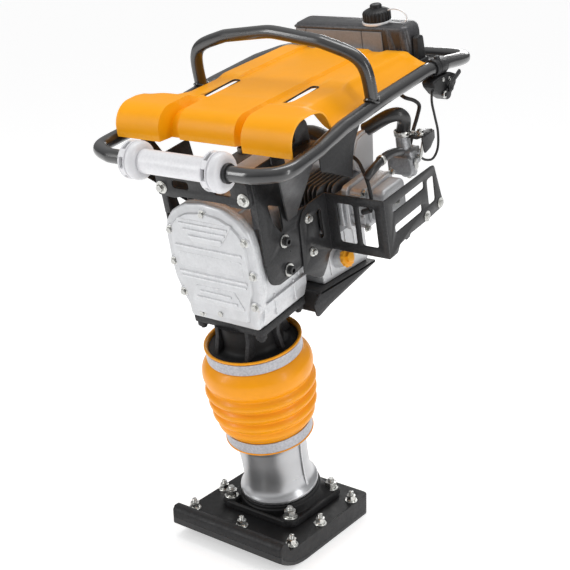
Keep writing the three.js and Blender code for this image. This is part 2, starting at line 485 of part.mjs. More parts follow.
// gussets from the rails to the side plates
function gusset(s) {
  const f = [[-76, 806], [30, 806], [52, 672], [26, 672]];
  const pos = [];
  const top = [196, 199.5], bot = [115.4, 118.9];
  const V = [];
  for (const k of [0, 1]) for (const [i, [v, w]] of f.entries()) V.push([(i < 2 ? top[k] : bot[k]) * s, v, w]);
  const quads = [[0, 1, 2, 3], [7, 6, 5, 4], [0, 4, 5, 1], [1, 5, 6, 2], [2, 6, 7, 3], [3, 7, 4, 0]];
  for (const q of quads) for (const t of [[0, 1, 2], [0, 2, 3]]) for (const k of t) pos.push(...V[q[k]]);
  const g = new THREE.BufferGeometry();
  g.setAttribute('position', new THREE.Float32BufferAttribute(pos, 3));
  return solid(g);
}
add('gusset_right', gusset(1), 'greyDark');
add('gusset_left', gusset(-1), 'greyDark');

// ================================================================ transport roller
{
  const tube = latheX([[14.6, -79], [22, -79], [22, 79], [14.6, 79], [14.6, -79]], 16, ROLLER_V, ROLLER_W);
  add('roller_tube', tube, 'white');
  const wheel = (s) => {
    const a = [[14.6, 79.4], [35, 79.4], [36, 91], [32.5, 93], [32.5, 98], [36, 100], [34, 108], [26, 113], [14.6, 113], [14.6, 79.4]];
    let m = latheX(a, 20, ROLLER_V, ROLLER_W);
    for (let k = 0; k < 6; k++) {
      const t = k * Math.PI / 3;
      const c = [ROLLER_V + 27 * Math.cos(t), ROLLER_W + 27 * Math.sin(t)];
      m = cut(m, rod([77, ...c], [90, ...c], 6, 5));
    }
    return s > 0 ? m : m.mirror([1, 0, 0]);
  };
  add('roller_wheel_right', wheel(1), 'white');
  add('roller_wheel_left', wheel(-1), 'white');
}

// ================================================================ top cover
{
  // profile columns across the machine; each column is the run of one section from the front lip to the rear edge
  const cols = [-206, -190, -165, -98, -88, -76, -66, 0, 66, 76, 88, 98, 165, 190, 206];
  const section = (x) => {
    const ax = Math.abs(x);
    const side = ax >= 98, mid = ax <= 66;
    const vf = side ? -42 : mid ? -22 : -15;      // front face of the roll
    const top = side ? 890 : mid ? 882 : 872;     // crown height
    const r = side ? 50 : 42;
    const fl = Math.max(0, (ax - 98) / 108) ** 1.4;  // flanks fall to the rails behind the rolls
    const out = [[vf, 832], [vf, top - r * 0.8], [vf + r * 0.27, top - r * 0.3], [vf + r * 0.75, top - 1]];
    const tail = (v, w, k) => out.push([v, w - k * fl * (w - 836)]);
    tail(48, top - 1, 0.05);
    tail(84, mid ? 879 : 872, 0.45);
    tail(120, mid ? 876 : 870, 0.9);
    tail(240, mid ? 872 : 866, 1);
    tail(430, mid ? 862 : 856, 1);
    return out;
  };
  const T = 4;
  const n = section(0).length;
  const outer = cols.map((x) => section(x));
  const idx = [], P = [];
  const widthK = (v) => 1 - 0.115 * Math.max(0, Math.min(1, (v - 40) / 80));
  cols.forEach((x, c) => outer[c].forEach(([v, w]) => P.push([x * widthK(v), v, w])));
  // inner skin: moved back and down
  cols.forEach((x, c) => outer[c].forEach(([v, w], k) => {
    const p = outer[c][Math.max(0, k - 1)], q = outer[c][Math.min(n - 1, k + 1)];
    const d = new THREE.Vector2(q[0] - p[0], q[1] - p[1]).normalize();
    P.push([x * widthK(v) * 0.985, v + d.y * T, w - d.x * T]);
  }));
  const N = cols.length, O = N * n;
  const A = (c, k) => c * n + k, B = (c, k) => O + c * n + k;
  const quad = (a, b, c, d) => idx.push(a, b, c, a, c, d);
  for (let c = 0; c < N - 1; c++) for (let k = 0; k < n - 1; k++) {
    quad(A(c, k), A(c + 1, k), A(c + 1, k + 1), A(c, k + 1));
    quad(B(c, k), B(c, k + 1), B(c + 1, k + 1), B(c + 1, k));
  }
  for (let c = 0; c < N - 1; c++) {
    quad(A(c, 0), B(c, 0), B(c + 1, 0), A(c + 1, 0));
    quad(A(c, n - 1), A(c + 1, n - 1), B(c + 1, n - 1), B(c, n - 1));
  }
  for (let k = 0; k < n - 1; k++) {
    quad(A(0, k), A(0, k + 1), B(0, k + 1), B(0, k));
    quad(A(N - 1, k), B(N - 1, k), B(N - 1, k + 1), A(N - 1, k + 1));
  }
  const g = new THREE.BufferGeometry();
  g.setAttribute('position', new THREE.Float32BufferAttribute(P.flat(), 3));
  g.setIndex(idx);
  let cover = solid(g);
  for (const s of [-1, 1]) cover = cut(cover, prism('Z', roundRect(s > 0 ? 86 : -106, s > 0 ? 106 : -86, 92, 198, 7, 2), 820, 900));
  // arch cut out of each flank over the rail
  for (const s of [-1, 1]) cover = cut(cover, prism('X', circle(34, 828, 50, 20), s > 0 ? 183 : -260, s > 0 ? 260 : -183));
  add('top_cover', cover, 'orange');
}

// ================================================================ fuel tank and cap
{
  const lower = prism('X', filletPoly([[446, 826, 6], [484, 826, 8], [506, 886, 6], [500, 898, 4], [450, 898, 4], [444, 890, 4]], 2), -132, 150);
  const neck = rod([62, 476, 890], [62, 476, 907], 24, 20);
  let tank = union(lower, neck);
  // sloping right-hand shoulder
  tank = cut(tank, prism('Y', [[151, 860], [151, 905], [128, 905]], 430, 520));
  add('fuel_tank', tank, 'tankGrey');
  const cap = union(latheKnob(62, 476, 907.4, 27, 24), rod([62, 476, 927], [62, 476, 942], 19, 14, 13));
  add('fuel_cap', cap, 'blackPlastic');
}
function latheKnob(x, v, w0, r, h) {
  const n = 16;
  const pts = [];
  for (let i = 0; i < n * 2; i++) {
    const a = i / (n * 2) * 2 * Math.PI;
    const rr = i % 2 ? r : r - 1.6;
    pts.push([x + rr * Math.cos(a), v + rr * Math.sin(a)]);
  }
  return prism('Z', pts, w0, w0 + h);
}

// ================================================================ air filter, intake hose, shield
{
  const outline = filletPoly([[221, 730, 10], [240, 754, 10], [262, 758, 10], [283, 755, 6], [300, 746, 4], [288, 673, 4], [255, 671, 6], [226, 692, 10]], 1);
  add('air_filter', union(prism('X', outline, 132, 143.4, [], 2), prism('X', roundRect(232, 286, 699, 748, 16, 1), 62, 133)), 'greyPlastic');
  add('side_shield', prism('X', filletPoly([[58, 808, 3], [200, 808, 3], [156, 712, 8], [76, 756, 4], [58, 764, 3]], 2), 184, 187), 'blackPaint');
  const hose = [[156, 286, 738], [161, 289, 743], [168, 303, 764], [178, 316, 776], [185, 329, 770], [186, 333, 754], [186, 333, 727]];
  add('intake_hose', sweep(hose, 14, 10, 12), 'rubber');
}

// ================================================================ throttle control
{
  // split clamp round the right-hand rail with the lever box under it
  const a = [207.6, 428, 831.2], b = [208, 468, 826.8];
  let body = union(rod(a, b, 21, 16), prism('X', filletPoly([[430, 816, 3], [472, 806, 6], [478, 776, 8], [456, 756, 6], [430, 780, 4]], 2), 196, 226));
  body = cut(body, rod([207.3, 400, 834.3], [208.3, 500, 823.3], 15.6, 16), rod([226.5, 456, 784], [209, 456, 784], 5.5, 8));
  add('throttle_housing', body, 'blackPlastic');
  add('throttle_lever', union(rod([226.6, 456, 784], [210, 456, 784], 4.8, 8), prism('X', filletPoly([[450, 778, 3], [462, 778, 3], [464, 790, 3], [500, 802, 4], [496, 810, 4], [450, 793, 3]], 2), 226.6, 232.6)), 'zinc');
  add('throttle_cable', sweep([[211, 429.2, 798], [211, 416, 793], [211.5, 411, 772], [212, 418, 740], [212, 426, 700], [212, 418, 664], [210, 398, 650], [206, 374, 660], [204, 363, 670], [204, 357.6, 672]], 2.6, 6, 16), 'rubber');
}
add('fuel_hose', sweep([[120, 462, 825.3], [120.5, 461, 812], [128, 440, 793], [142, 402, 781], [158, 396, 777], [168, 418, 767], [171, 432, 752], [174, 414, 739], [177, 388, 722], [180, 372, 700], [180, 366, 688], [180, 357.5, 687]], 4, 6, 22), 'rubber');

// ================================================================ engine guard
{
  const t = 3;
  const z0 = 555, z1 = 676;
  // flange on the side plate, front panel, outer panel
  const flange = prism('X', filletPoly([[58, 650, 8], [70, 668, 8], [92, 677, 4], [CAGE_V + t, 677], [CAGE_V + t, z0], [50, z0, 4]], 2), 115.4, 115.4 + t,
    [circle(84, 650, 4, 8), circle(84, 580, 4, 8), roundRect(112, 128, 590, 652, 4, 1)]);
  const front = prism('Y', [[115.4, z0], [CAGE_X, z0], [CAGE_X, z1], [115.4, z1]], CAGE_V, CAGE_V + t,
    [roundRect(142, 180, 575, 658, 3, 1), roundRect(192, 228, 575, 658, 3, 1)]);
  const outer = prism('X', filletPoly([[CAGE_V, z0], [176, z0, 8], [186, 568, 6], [206, 570], [210, 566], [222, 567], [226, 572], [292, 571, 4], [340, 573, 6], [356, 582, 6], [334, 671, 8], [322, 673, 4], [CAGE_V, z1]], 2),
    CAGE_X - t, CAGE_X, [roundRect(174, 290, 640, 656, 3, 1), roundRect(176, 276, 596, 614, 3, 1), roundRect(302, 328, 598, 652, 4, 1)]);
  let cage = union(flange, front, outer);
  for (const [v, w] of [[344, 585], [290, 580]]) cage = union(cage, rod([CAGE_X - 6, v, w], [CAGE_X + 5, v, w], 7, 10));
  add('engine_guard', cage, 'blackPaint');
}

export default rammer;
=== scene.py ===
import math
import bpy
import bmesh
from mathutils import Matrix, Vector

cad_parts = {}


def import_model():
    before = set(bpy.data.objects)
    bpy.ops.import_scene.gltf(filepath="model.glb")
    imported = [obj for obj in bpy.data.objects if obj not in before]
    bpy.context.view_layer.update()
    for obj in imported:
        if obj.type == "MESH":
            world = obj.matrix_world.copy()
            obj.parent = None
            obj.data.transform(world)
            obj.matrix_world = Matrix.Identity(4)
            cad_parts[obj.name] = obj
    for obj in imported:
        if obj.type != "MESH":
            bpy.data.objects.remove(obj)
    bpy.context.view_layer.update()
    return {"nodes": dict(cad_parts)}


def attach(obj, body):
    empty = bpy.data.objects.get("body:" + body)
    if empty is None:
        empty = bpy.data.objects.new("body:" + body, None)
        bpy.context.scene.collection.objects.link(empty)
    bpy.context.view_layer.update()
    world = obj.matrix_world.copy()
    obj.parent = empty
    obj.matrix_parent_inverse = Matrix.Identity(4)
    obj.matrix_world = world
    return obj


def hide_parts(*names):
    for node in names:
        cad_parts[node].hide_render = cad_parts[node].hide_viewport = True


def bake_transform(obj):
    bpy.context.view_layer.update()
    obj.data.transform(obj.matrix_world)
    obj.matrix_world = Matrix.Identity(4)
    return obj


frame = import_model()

sin, cos, rad, pi = math.sin, math.cos, math.radians, math.pi

# ------------------------------------------------------------------ camera
cam_data = bpy.data.cameras.new("camera")
cam_data.lens = 70.84
cam_data.sensor_width = 36
cam_data.clip_start = 0.05
cam_data.clip_end = 200
cam = bpy.data.objects.new("camera", cam_data)
bpy.context.scene.collection.objects.link(cam)
_az, _el, _roll = 0.653, 0.323, -0.025
_back = Vector((sin(_az) * cos(_el), -cos(_az) * cos(_el), sin(_el)))
_right = Vector((0, 0, 1)).cross(_back).normalized()
_up = _back.cross(_right)
_r2 = _right * cos(_roll) + _up * sin(_roll)
_u2 = -_right * sin(_roll) + _up * cos(_roll)
cam.matrix_world = Matrix.Translation((1.3221, -1.7022, 1.2501)) @ Matrix((_r2, _u2, _back)).transposed().to_4x4()
bpy.context.scene.camera = cam
bpy.context.scene.view_settings.view_transform = "Standard"

# ------------------------------------------------------------------ frames: leg frame (x, v, w) in mm, and row frame in mm
LEG = Matrix.Translation((0, 0, 0.0443)) @ Matrix.Rotation(rad(12), 4, "X") @ Matrix.Scale(0.001, 4)
ROW = Matrix.Scale(0.001, 4)


def P(x, v, w):
    return tuple(LEG @ Vector((x, v, w)))


# ------------------------------------------------------------------ materials
def lin(r, g, b):
    f = lambda c: c / 12.92 if c <= 0.04045 else ((c + 0.055) / 1.055) ** 2.4
    return (f(r / 255), f(g / 255), f(b / 255))


def material(name, col, rough, metal=0.0, var=0.12, vs=30, grain=900, bump=0.12, dist=0.0002, rv=0.06,
             coat=0.0, edge=None, edge_highlight_amt=0.5, stretch=None, sheen=0.0, spec=0.5, scratch=0.0, speck=0.0):
    m = bpy.data.materials.new(name)
    m.use_nodes = True
    nt = m.node_tree
    N, K = nt.nodes, nt.links
    b = N["Principled BSDF"]
    tc = N.new("ShaderNodeTexCoord")
    mp = N.new("ShaderNodeMapping")
    if stretch:
        mp.inputs["Scale"].default_value = stretch
    K.new(tc.outputs["Object"], mp.inputs["Vector"])

    def noise(scale, detail=4.0, src=None, roughness=0.55):
        n = N.new("ShaderNodeTexNoise")
        n.inputs["Scale"].default_value = scale
        n.inputs["Detail"].default_value = detail
        n.inputs["Roughness"].default_value = roughness
        K.new((src or tc).outputs["Object" if (src or tc) is tc else "Vector"], n.inputs["Vector"])
        return n

    def ramp(src, lo, hi, a, c):
        r = N.new("ShaderNodeMapRange")
        r.inputs["From Min"].default_value = lo
        r.inputs["From Max"].default_value = hi
        r.inputs["To Min"].default_value = a
        r.inputs["To Max"].default_value = c
        K.new(src, r.inputs["Value"])
        return r.outputs["Result"]

    def mix(fac, a, c):
        x = N.new("ShaderNodeMix")
        x.data_type = "RGBA"
        for sock, val in ((x.inputs[6], a), (x.inputs[7], c)):
            if isinstance(val, tuple):
                sock.default_value = (*val, 1)
            else:
                K.new(val, sock)
        K.new(fac, x.inputs[0])
        return x.outputs[2]

    big = noise(vs, 5)
    lo = tuple(c * (1 - var) for c in col)
    hi = tuple(min(1.0, c * (1 + var)) for c in col)
    colour = mix(ramp(big.outputs["Fac"], 0.3, 0.7, 0, 1), lo, hi)
    if speck:
        sp = noise(grain * 0.7, 2)
        colour = mix(ramp(sp.outputs["Fac"], 0.62, 0.75, 0, speck), colour, tuple(min(1.0, c * 2.2 + 0.02) for c in col))
    # edge: a lighter colour mixed onto convex edges by pointiness, a painted highlight standing in for the glint off
    # the bevels; the noise named wear only breaks it into patches
    if edge:
        g = N.new("ShaderNodeNewGeometry")
        wear = noise(220, 6)
        edge_highlight_mask = ramp(g.outputs["Pointiness"], 0.505, 0.56, 0, 1)
        edge_highlight_fac = N.new("ShaderNodeMath")
        edge_highlight_fac.operation = "MULTIPLY"
        K.new(edge_highlight_mask, edge_highlight_fac.inputs[0])
        K.new(ramp(wear.outputs["Fac"], 0.35, 0.65, edge_highlight_amt * 0.25, edge_highlight_amt), edge_highlight_fac.inputs[1])
        colour = mix(edge_highlight_fac.outputs[0], colour, edge)
    K.new(colour, b.inputs["Base Color"])
    rn = noise(vs * 2.7, 6, mp)
    K.new(ramp(rn.outputs["Fac"], 0.25, 0.75, max(0.03, rough - rv), min(1, rough + rv)), b.inputs["Roughness"])
    gn = noise(grain, 3, mp)
    height = gn.outputs["Fac"]
    if scratch:
        sn = N.new("ShaderNodeTexNoise")
        sn.inputs["Scale"].default_value = 60
        sn.inputs["Detail"].default_value = 8
        sn.inputs["Distortion"].default_value = 1.5
        K.new(tc.outputs["Object"], sn.inputs["Vector"])
        add = N.new("ShaderNodeMath")
        add.operation = "ADD"
        K.new(height, add.inputs[0])
        K.new(ramp(sn.outputs["Fac"], 0.4, 0.6, 0, scratch), add.inputs[1])
        height = add.outputs[0]
    bp = N.new("ShaderNodeBump")
    bp.inputs["Strength"].default_value = bump
    bp.inputs["Distance"].default_value = dist
    K.new(height, bp.inputs["Height"])
    K.new(bp.outputs["Normal"], b.inputs["Normal"])
    b.inputs["Metallic"].default_value = metal
    b.inputs["Coat Weight"].default_value = coat
    b.inputs["Coat Roughness"].default_value = 0.12
    b.inputs["Sheen Weight"].default_value = sheen
    b.inputs["Specular IOR Level"].default_value = spec
    m.diffuse_color = (*col, 1)
    return m


# in each entry that has one, the twelfth value is the edge colour, a painted highlight on convex edges, and the next is
# its strength
MT = {
    "powder": material("powder_black", lin(29, 29, 30), 0.33, 0.0, 0.18, 18, 1100, 0.16, 0.00025, 0.07, 0.12, lin(98, 98, 100), 0.3, speck=0.08, spec=0.25),
    "tube": material("tube_black", lin(30, 30, 31), 0.3, 0.0, 0.15, 14, 1300, 0.10, 0.0002, 0.05, 0.55, lin(78, 78, 80), 0.25, spec=0.7),
    "shoe": material("shoe_black", lin(22, 22, 23), 0.42, 0.0, 0.22, 26, 700, 0.22, 0.0004, 0.1, 0.0, lin(80, 80, 82), 0.4, scratch=0.5, spec=0.25),
    "casting": material("casting_black", lin(24, 24, 25), 0.5, 0.0, 0.22, 45, 620, 0.45, 0.0006, 0.08, 0.0, lin(86, 86, 88), 0.35, speck=0.15, spec=0.25),
    "alu": material("cast_aluminium", lin(196, 197, 199), 0.42, 0.45, 0.07, 40, 950, 0.24, 0.00035, 0.08, 0.0, lin(232, 233, 235), 0.6, speck=0.05),
    # a darker copy of the cast aluminium: painted shade for engine parts deep inside the guard
    "alu_shaded": material("cast_aluminium_painted_shade", lin(140, 141, 143), 0.45, 0.8, 0.16, 60, 800, 0.35, 0.0005, 0.1, 0.0, lin(205, 206, 208), 0.6),
    # fin aluminium darkened: painted shadow between the cooling fins
    "fin": material("fin_aluminium_painted_shade", lin(110, 111, 113), 0.42, 0.8, 0.2, 70, 800, 0.3, 0.0004, 0.1),
    "polish": material("polished_aluminium", lin(190, 191, 193), 0.33, 0.85, 0.05, 12, 1400, 0.10, 0.00015, 0.07, 0.0, lin(240, 240, 242), 0.4, stretch=(0.12, 0.12, 1.6)),
    "zinc": material("zinc_plate", lin(172, 172, 169), 0.3, 1.0, 0.1, 120, 1500, 0.12, 0.0002, 0.1, 0.0, lin(240, 240, 236), 0.6),
    "steel": material("machined_steel", lin(168, 170, 173), 0.3, 1.0, 0.08, 60, 1500, 0.15, 0.0002, 0.08, 0.0, stretch=(1, 1, 0.2)),
    "band": material("band_steel", lin(150, 151, 156), 0.4, 0.6, 0.05, 30, 1600, 0.04, 0.0002, 0.05, 0.0, lin(215, 215, 220), 0.5, stretch=(0.4, 0.4, 3.0)),
    "orange": material("orange_cover", lin(247, 163, 0), 0.36, 0.0, 0.04, 9, 1500, 0.06, 0.00015, 0.04, 0.0, lin(255, 196, 90), 0.3, spec=0.2),
    "boot": material("orange_rubber", lin(243, 156, 0), 0.38, 0.0, 0.05, 16, 1300, 0.12, 0.0002, 0.05, 0.1, lin(255, 194, 70), 0.2, spec=0.3),
    "lip": material("orange_rubber_lip", lin(240, 160, 30), 0.42, 0.0, 0.06, 40, 1300, 0.12, 0.0002, 0.05),
    "white": material("white_plastic", lin(214, 214, 217), 0.33, 0.0, 0.03, 20, 1200, 0.08, 0.0002, 0.05, 0.1, lin(246, 246, 248), 0.3),
    "rubber": material("black_rubber", lin(20, 20, 21), 0.58, 0.0, 0.2, 50, 900, 0.3, 0.0004, 0.1, 0.0, lin(70, 70, 72), 0.3, sheen=0.08),
    "hose": material("rubber_hose", lin(26, 26, 27), 0.36, 0.0, 0.15, 30, 1100, 0.12, 0.0002, 0.05, 0.15, lin(60, 60, 62), 0.2, spec=0.6),
    "plastic": material("black_plastic", lin(24, 24, 25), 0.42, 0.0, 0.15, 40, 1000, 0.3, 0.0003, 0.06, 0.0, lin(76, 76, 78), 0.35, spec=0.3),
    "tank": material("tank_plastic", lin(38, 38, 40), 0.36, 0.0, 0.1, 22, 1200, 0.15, 0.00025, 0.05, 0.1, lin(120, 120, 124), 0.4),
    "panel": material("tank_panel", lin(122, 122, 124), 0.45, 0.0, 0.05, 16, 1200, 0.15, 0.00025, 0.05, 0.0, lin(160, 160, 162), 0.3),
    "grey": material("grey_plastic", lin(186, 186, 187), 0.5, 0.0, 0.05, 18, 1000, 0.15, 0.0003, 0.05, 0.0, lin(176, 176, 178), 0.3),
    "dark": material("dark_grey_paint", lin(70, 70, 73), 0.42, 0.1, 0.12, 20, 1000, 0.2, 0.0003, 0.06, 0.0, lin(125, 125, 128), 0.35),
    "yellow": material("oil_cap_plastic", lin(244, 168, 26), 0.34, 0.0, 0.05, 50, 900, 0.1, 0.0002, 0.04, 0.2),
    "exhaust": material("exhaust_steel", lin(88, 85, 82), 0.5, 0.7, 0.3, 60, 700, 0.35, 0.0004, 0.12, 0.0, lin(140, 130, 118), 0.5),
    "clear": material("tether_plastic", lin(226, 227, 229), 0.25, 0.0, 0.04, 60, 900, 0.08, 0.0002, 0.05, 0.3),
    "bronze": material("gear_steel", lin(150, 150, 152), 0.3, 1.0, 0.1, 60, 1200, 0.15, 0.0002, 0.08),
}


# ------------------------------------------------------------------ shape helpers: a part is (vertices, faces, material index)
def lathe(profile, n=72, axis="w", at=(0, 0, 0), closed=False, mi=0, prof2=None):
    V, F, rings = [], [], []
    for r, t in profile:
        if r < 1e-6:
            rings.append([len(V)])
            V.append((0, 0, t))
        else:
            rings.append(list(range(len(V), len(V) + n)))
            V += [(r * cos(2 * pi * i / n), r * sin(2 * pi * i / n), t) for i in range(n)]
    pairs = list(zip(rings, rings[1:])) + ([(rings[-1], rings[0])] if closed else [])
    for a, b in pairs:
        for i in range(n):
            j = (i + 1) % n
            q = [a[i % len(a)], a[j % len(a)], b[j % len(b)], b[i % len(b)]]
            u = []
            for k in q:
                if k not in u:
                    u.append(k)
            if len(u) > 2:
                F.append(u)
    if not closed:
        for ring in (rings[0], rings[-1]):
            if len(ring) > 1:
                F.append(list(ring))
    if axis == "x":
        V = [(z, x, y) for x, y, z in V]
    elif axis == "v":
        V = [(y, z, x) for x, y, z in V]
    return [([(x + at[0], y + at[1], z + at[2]) for x, y, z in V], F, mi)]


def along(part, p, q):
    """turns a part built along +Z from the origin so that it runs from p towards q"""
    d = (Vector(q) - Vector(p)).normalized()
    M = Matrix.Translation(p) @ Vector((0, 0, 1)).rotation_difference(d).to_matrix().to_4x4()
    return [([tuple(M @ Vector(v)) for v in V], F, mi) for V, F, mi in part]


def move(part, d):
    return [([(x + d[0], y + d[1], z + d[2]) for x, y, z in V], F, mi) for V, F, mi in part]


def mirror(part):
    return [([(-x, y, z) for x, y, z in V], F, mi) for V, F, mi in part]


def both(part):
    return part + mirror(part)


def rod(p, q, r, n=32, c=0.6, mi=0, r2=None):
    L = (Vector(q) - Vector(p)).length
    r2 = r if r2 is None else r2
    c = min(c, r * 0.4, r2 * 0.4, L * 0.3)
    return along(lathe([(0, 0), (r - c, 0), (r - c * 0.3, c * 0.3), (r, c), (r2, L - c), (r2 - c * 0.3, L - c * 0.3), (r2 - c, L), (0, L)], n, mi=mi), p, q)


def box(x0, x1, y0, y1, z0, z1, b=1.0, seg=2, mi=0):
    bm = bmesh.new()
    bmesh.ops.create_cube(bm, size=1)
    for v in bm.verts:
        v.co = Vector(((x0 + x1) / 2 + v.co.x * (x1 - x0), (y0 + y1) / 2 + v.co.y * (y1 - y0), (z0 + z1) / 2 + v.co.z * (z1 - z0)))
    if b:
        bmesh.ops.bevel(bm, geom=list(bm.edges), offset=b, segments=seg, affect="EDGES", profile=0.5)
    bm.verts.index_update()
    V = [tuple(v.co) for v in bm.verts]
    F = [[v.index for v in f.verts] for f in bm.faces]
    bm.free()
    return [(V, F, mi)]


def plate(axis, outline, holes, t0, t1, b=0.8, seg=2, mi=0):
    """closed outline with holes, thickened between t0 and t1 along the axis: 'X' takes (v, w), 'Y' takes (x, w), 'Z' takes (x, v)"""
    cu = bpy.data.curves.new("tmp", "CURVE")
    cu.dimensions = "2D"
    cu.fill_mode = "BOTH"
    b = min(b, (t1 - t0) * 0.45)
    cu.extrude = (t1 - t0) / 2 - b
    cu.bevel_depth = b
    cu.bevel_resolution = seg - 1
    cu.offset = -b
    for loop in [outline] + list(holes):
        pts = []
        for p in loop:
            if not pts or (abs(p[0] - pts[-1][0]) + abs(p[1] - pts[-1][1])) > 1e-3:
                pts.append(p)
        s = cu.splines.new("POLY")
        s.points.add(len(pts) - 1)
        for k, p in enumerate(pts):
            s.points[k].co = (p[0], p[1], 0, 1)
        s.use_cyclic_u = True
    ob = bpy.data.objects.new("tmp", cu)
    bpy.context.scene.collection.objects.link(ob)
    dg = bpy.context.evaluated_depsgraph_get()
    me = ob.evaluated_get(dg).to_mesh()
    bm = bmesh.new()
    bm.from_mesh(me)
    bmesh.ops.remove_doubles(bm, verts=bm.verts, dist=0.004)
    bm.verts.index_update()
    V = [tuple(v.co) for v in bm.verts]
    F = [[v.index for v in f.verts] for f in bm.faces]
    bm.free()
    ob.evaluated_get(dg).to_mesh_clear()
    bpy.data.objects.remove(ob)
    bpy.data.curves.remove(cu)
    mid = (t0 + t1) / 2
    if axis == "X":
        V = [(z + mid, x, y) for x, y, z in V]
    elif axis == "Y":
        V = [(x, z + mid, y) for x, y, z in V]
    else:
        V = [(x, y, z + mid) for x, y, z in V]
    return [(V, F, mi)]


def bezpath(pts, n=8, dense=14.0):
    """the bent-tube rule of the CAD: corners [x, v, w, bend radius] joined by quadratic bends"""
    out = [Vector(pts[0][:3])]
    for i in range(1, len(pts) - 1):
        p = Vector(pts[i][:3])
        a, b = Vector(pts[i - 1][:3]) - p, Vector(pts[i + 1][:3]) - p
        la, lb = a.length, b.length
        a.normalize(), b.normalize()
        half = math.acos(max(-1, min(1, a.dot(b)))) / 2
        t = min(pts[i][3] / math.tan(half), la * 0.48, lb * 0.48)
        p0, p1 = p + a * t, p + b * t
        for k in range(n + 1):
            u = k / n
            out.append(p0 * (1 - u) ** 2 + p * 2 * u * (1 - u) + p1 * u * u)
    out.append(Vector(pts[-1][:3]))
    return out


def spline(pts, n=8):
    """smooth centripetal curve through the points"""
    pts = [Vector(p) for p in pts]
    ext = [pts[0] * 2 - pts[1]] + pts + [pts[-1] * 2 - pts[-2]]
    out = []
    for i in range(1, len(ext) - 2):
        p0, p1, p2, p3 = ext[i - 1:i + 3]
        t0 = 0
        t1 = t0 + max(1e-4, (p1 - p0).length) ** 0.5
        t2 = t1 + max(1e-4, (p2 - p1).length) ** 0.5
        t3 = t2 + max(1e-4, (p3 - p2).length) ** 0.5
        for k in range(n):
            t = t1 + (t2 - t1) * k / n
            a1 = p0 * ((t1 - t) / (t1 - t0)) + p1 * ((t - t0) / (t1 - t0))
            a2 = p1 * ((t2 - t) / (t2 - t1)) + p2 * ((t - t1) / (t2 - t1))
            a3 = p2 * ((t3 - t) / (t3 - t2)) + p3 * ((t - t2) / (t3 - t2))
            b1 = a1 * ((t2 - t) / (t2 - t0)) + a2 * ((t - t0) / (t2 - t0))
            b2 = a2 * ((t3 - t) / (t3 - t1)) + a3 * ((t - t1) / (t3 - t1))
            out.append(b1 * ((t2 - t) / (t2 - t1)) + b2 * ((t - t1) / (t2 - t1)))
    out.append(pts[-1])
    return out


def tube(path, r, n=24, mi=0, shape=None, cap=1.0):
    """round tube along a path, with rounded-over ends; r may be a function of the share of the path"""
    pts = [Vector(p) for p in path]
    keep = [pts[0]]
    for p in pts[1:]:
        if (p - keep[-1]).length > 0.05:
            keep.append(p)
    pts = keep
    L = [0.0]
    for a, b in zip(pts, pts[1:]):
        L.append(L[-1] + (b - a).length)
    tang = []
    for i in range(len(pts)):
        a, b = pts[max(0, i - 1)], pts[min(len(pts) - 1, i + 1)]
        tang.append((b - a).normalized())
    ref = Vector((0, 0, 1)) if abs(tang[0].z) < 0.9 else Vector((1, 0, 0))
    nrm = (ref - tang[0] * ref.dot(tang[0])).normalized()
    V, F, rings = [], [], []

    def ring(c, t, nr, rr):
        bn = t.cross(nr)
        rings.append(list(range(len(V), len(V) + n)))
        for i in range(n):
            a = 2 * pi * i / n
            k = shape(a) if shape else 1.0
            V.append(tuple(c + (nr * cos(a) + bn * sin(a)) * rr * k))
    rr = (lambda u: r) if not callable(r) else r
    e = min(cap, rr(0) * 0.5)
    ring(pts[0], tang[0], nrm, rr(0) - e)
    for i, p in enumerate(pts):
        t = tang[i]
        nrm = (nrm - t * nrm.dot(t)).normalized()
        c = p
        if i == 0:
            c = p + t * e * 0.8
        if i == len(pts) - 1:
            c = p - t * e * 0.8
        ring(c, t, nrm, rr(L[i] / L[-1]))
    ring(pts[-1], tang[-1], nrm, rr(1) - e)
    for a, b in zip(rings, rings[1:]):
        for i in range(n):
            j = (i + 1) % n
            F.append([a[i], a[j], b[j], b[i]])
    F.append(list(rings[0]))
    F.append(list(rings[-1]))
    return [(V, F, mi)]


def arc(cx, cy, r, a0, a1, n):
    return [(cx + r * cos(rad(a0 + (a1 - a0) * i / n)), cy + r * sin(rad(a0 + (a1 - a0) * i / n))) for i in range(n + 1)]


def circle(cx, cy, r, n=28):
    return arc(cx, cy, r, 0, 360 - 360 / n, n - 1)


def rrect(x0, x1, y0, y1, r, n=5):
    return arc(x1 - r, y1 - r, r, 0, 90, n) + arc(x0 + r, y1 - r, r, 90, 180, n) + arc(x0 + r, y0 + r, r, 180, 270, n) + arc(x1 - r, y0 + r, r, 270, 360, n)


def fillet(pts, n=5):
    out, N = [], len(pts)
    for i in range(N):
        x, y = pts[i][:2]
        r = pts[i][2] if len(pts[i]) > 2 else 0
        if not r:
            out.append((x, y))
            continue
        p = Vector((x, y))
        a, b = Vector(pts[i - 1][:2]) - p, Vector(pts[(i + 1) % N][:2]) - p
        la, lb = a.length, b.length
        a.normalize(), b.normalize()
        half = math.acos(max(-1, min(1, a.dot(b)))) / 2
        t = min(r / math.tan(half), la * 0.49, lb * 0.49)
        p0, p1 = p + a * t, p + b * t
        for k in range(n + 1):
            u = k / n
            q = p0 * (1 - u) ** 2 + p * 2 * u * (1 - u) + p1 * u * u
            out.append((q.x, q.y))
    return out


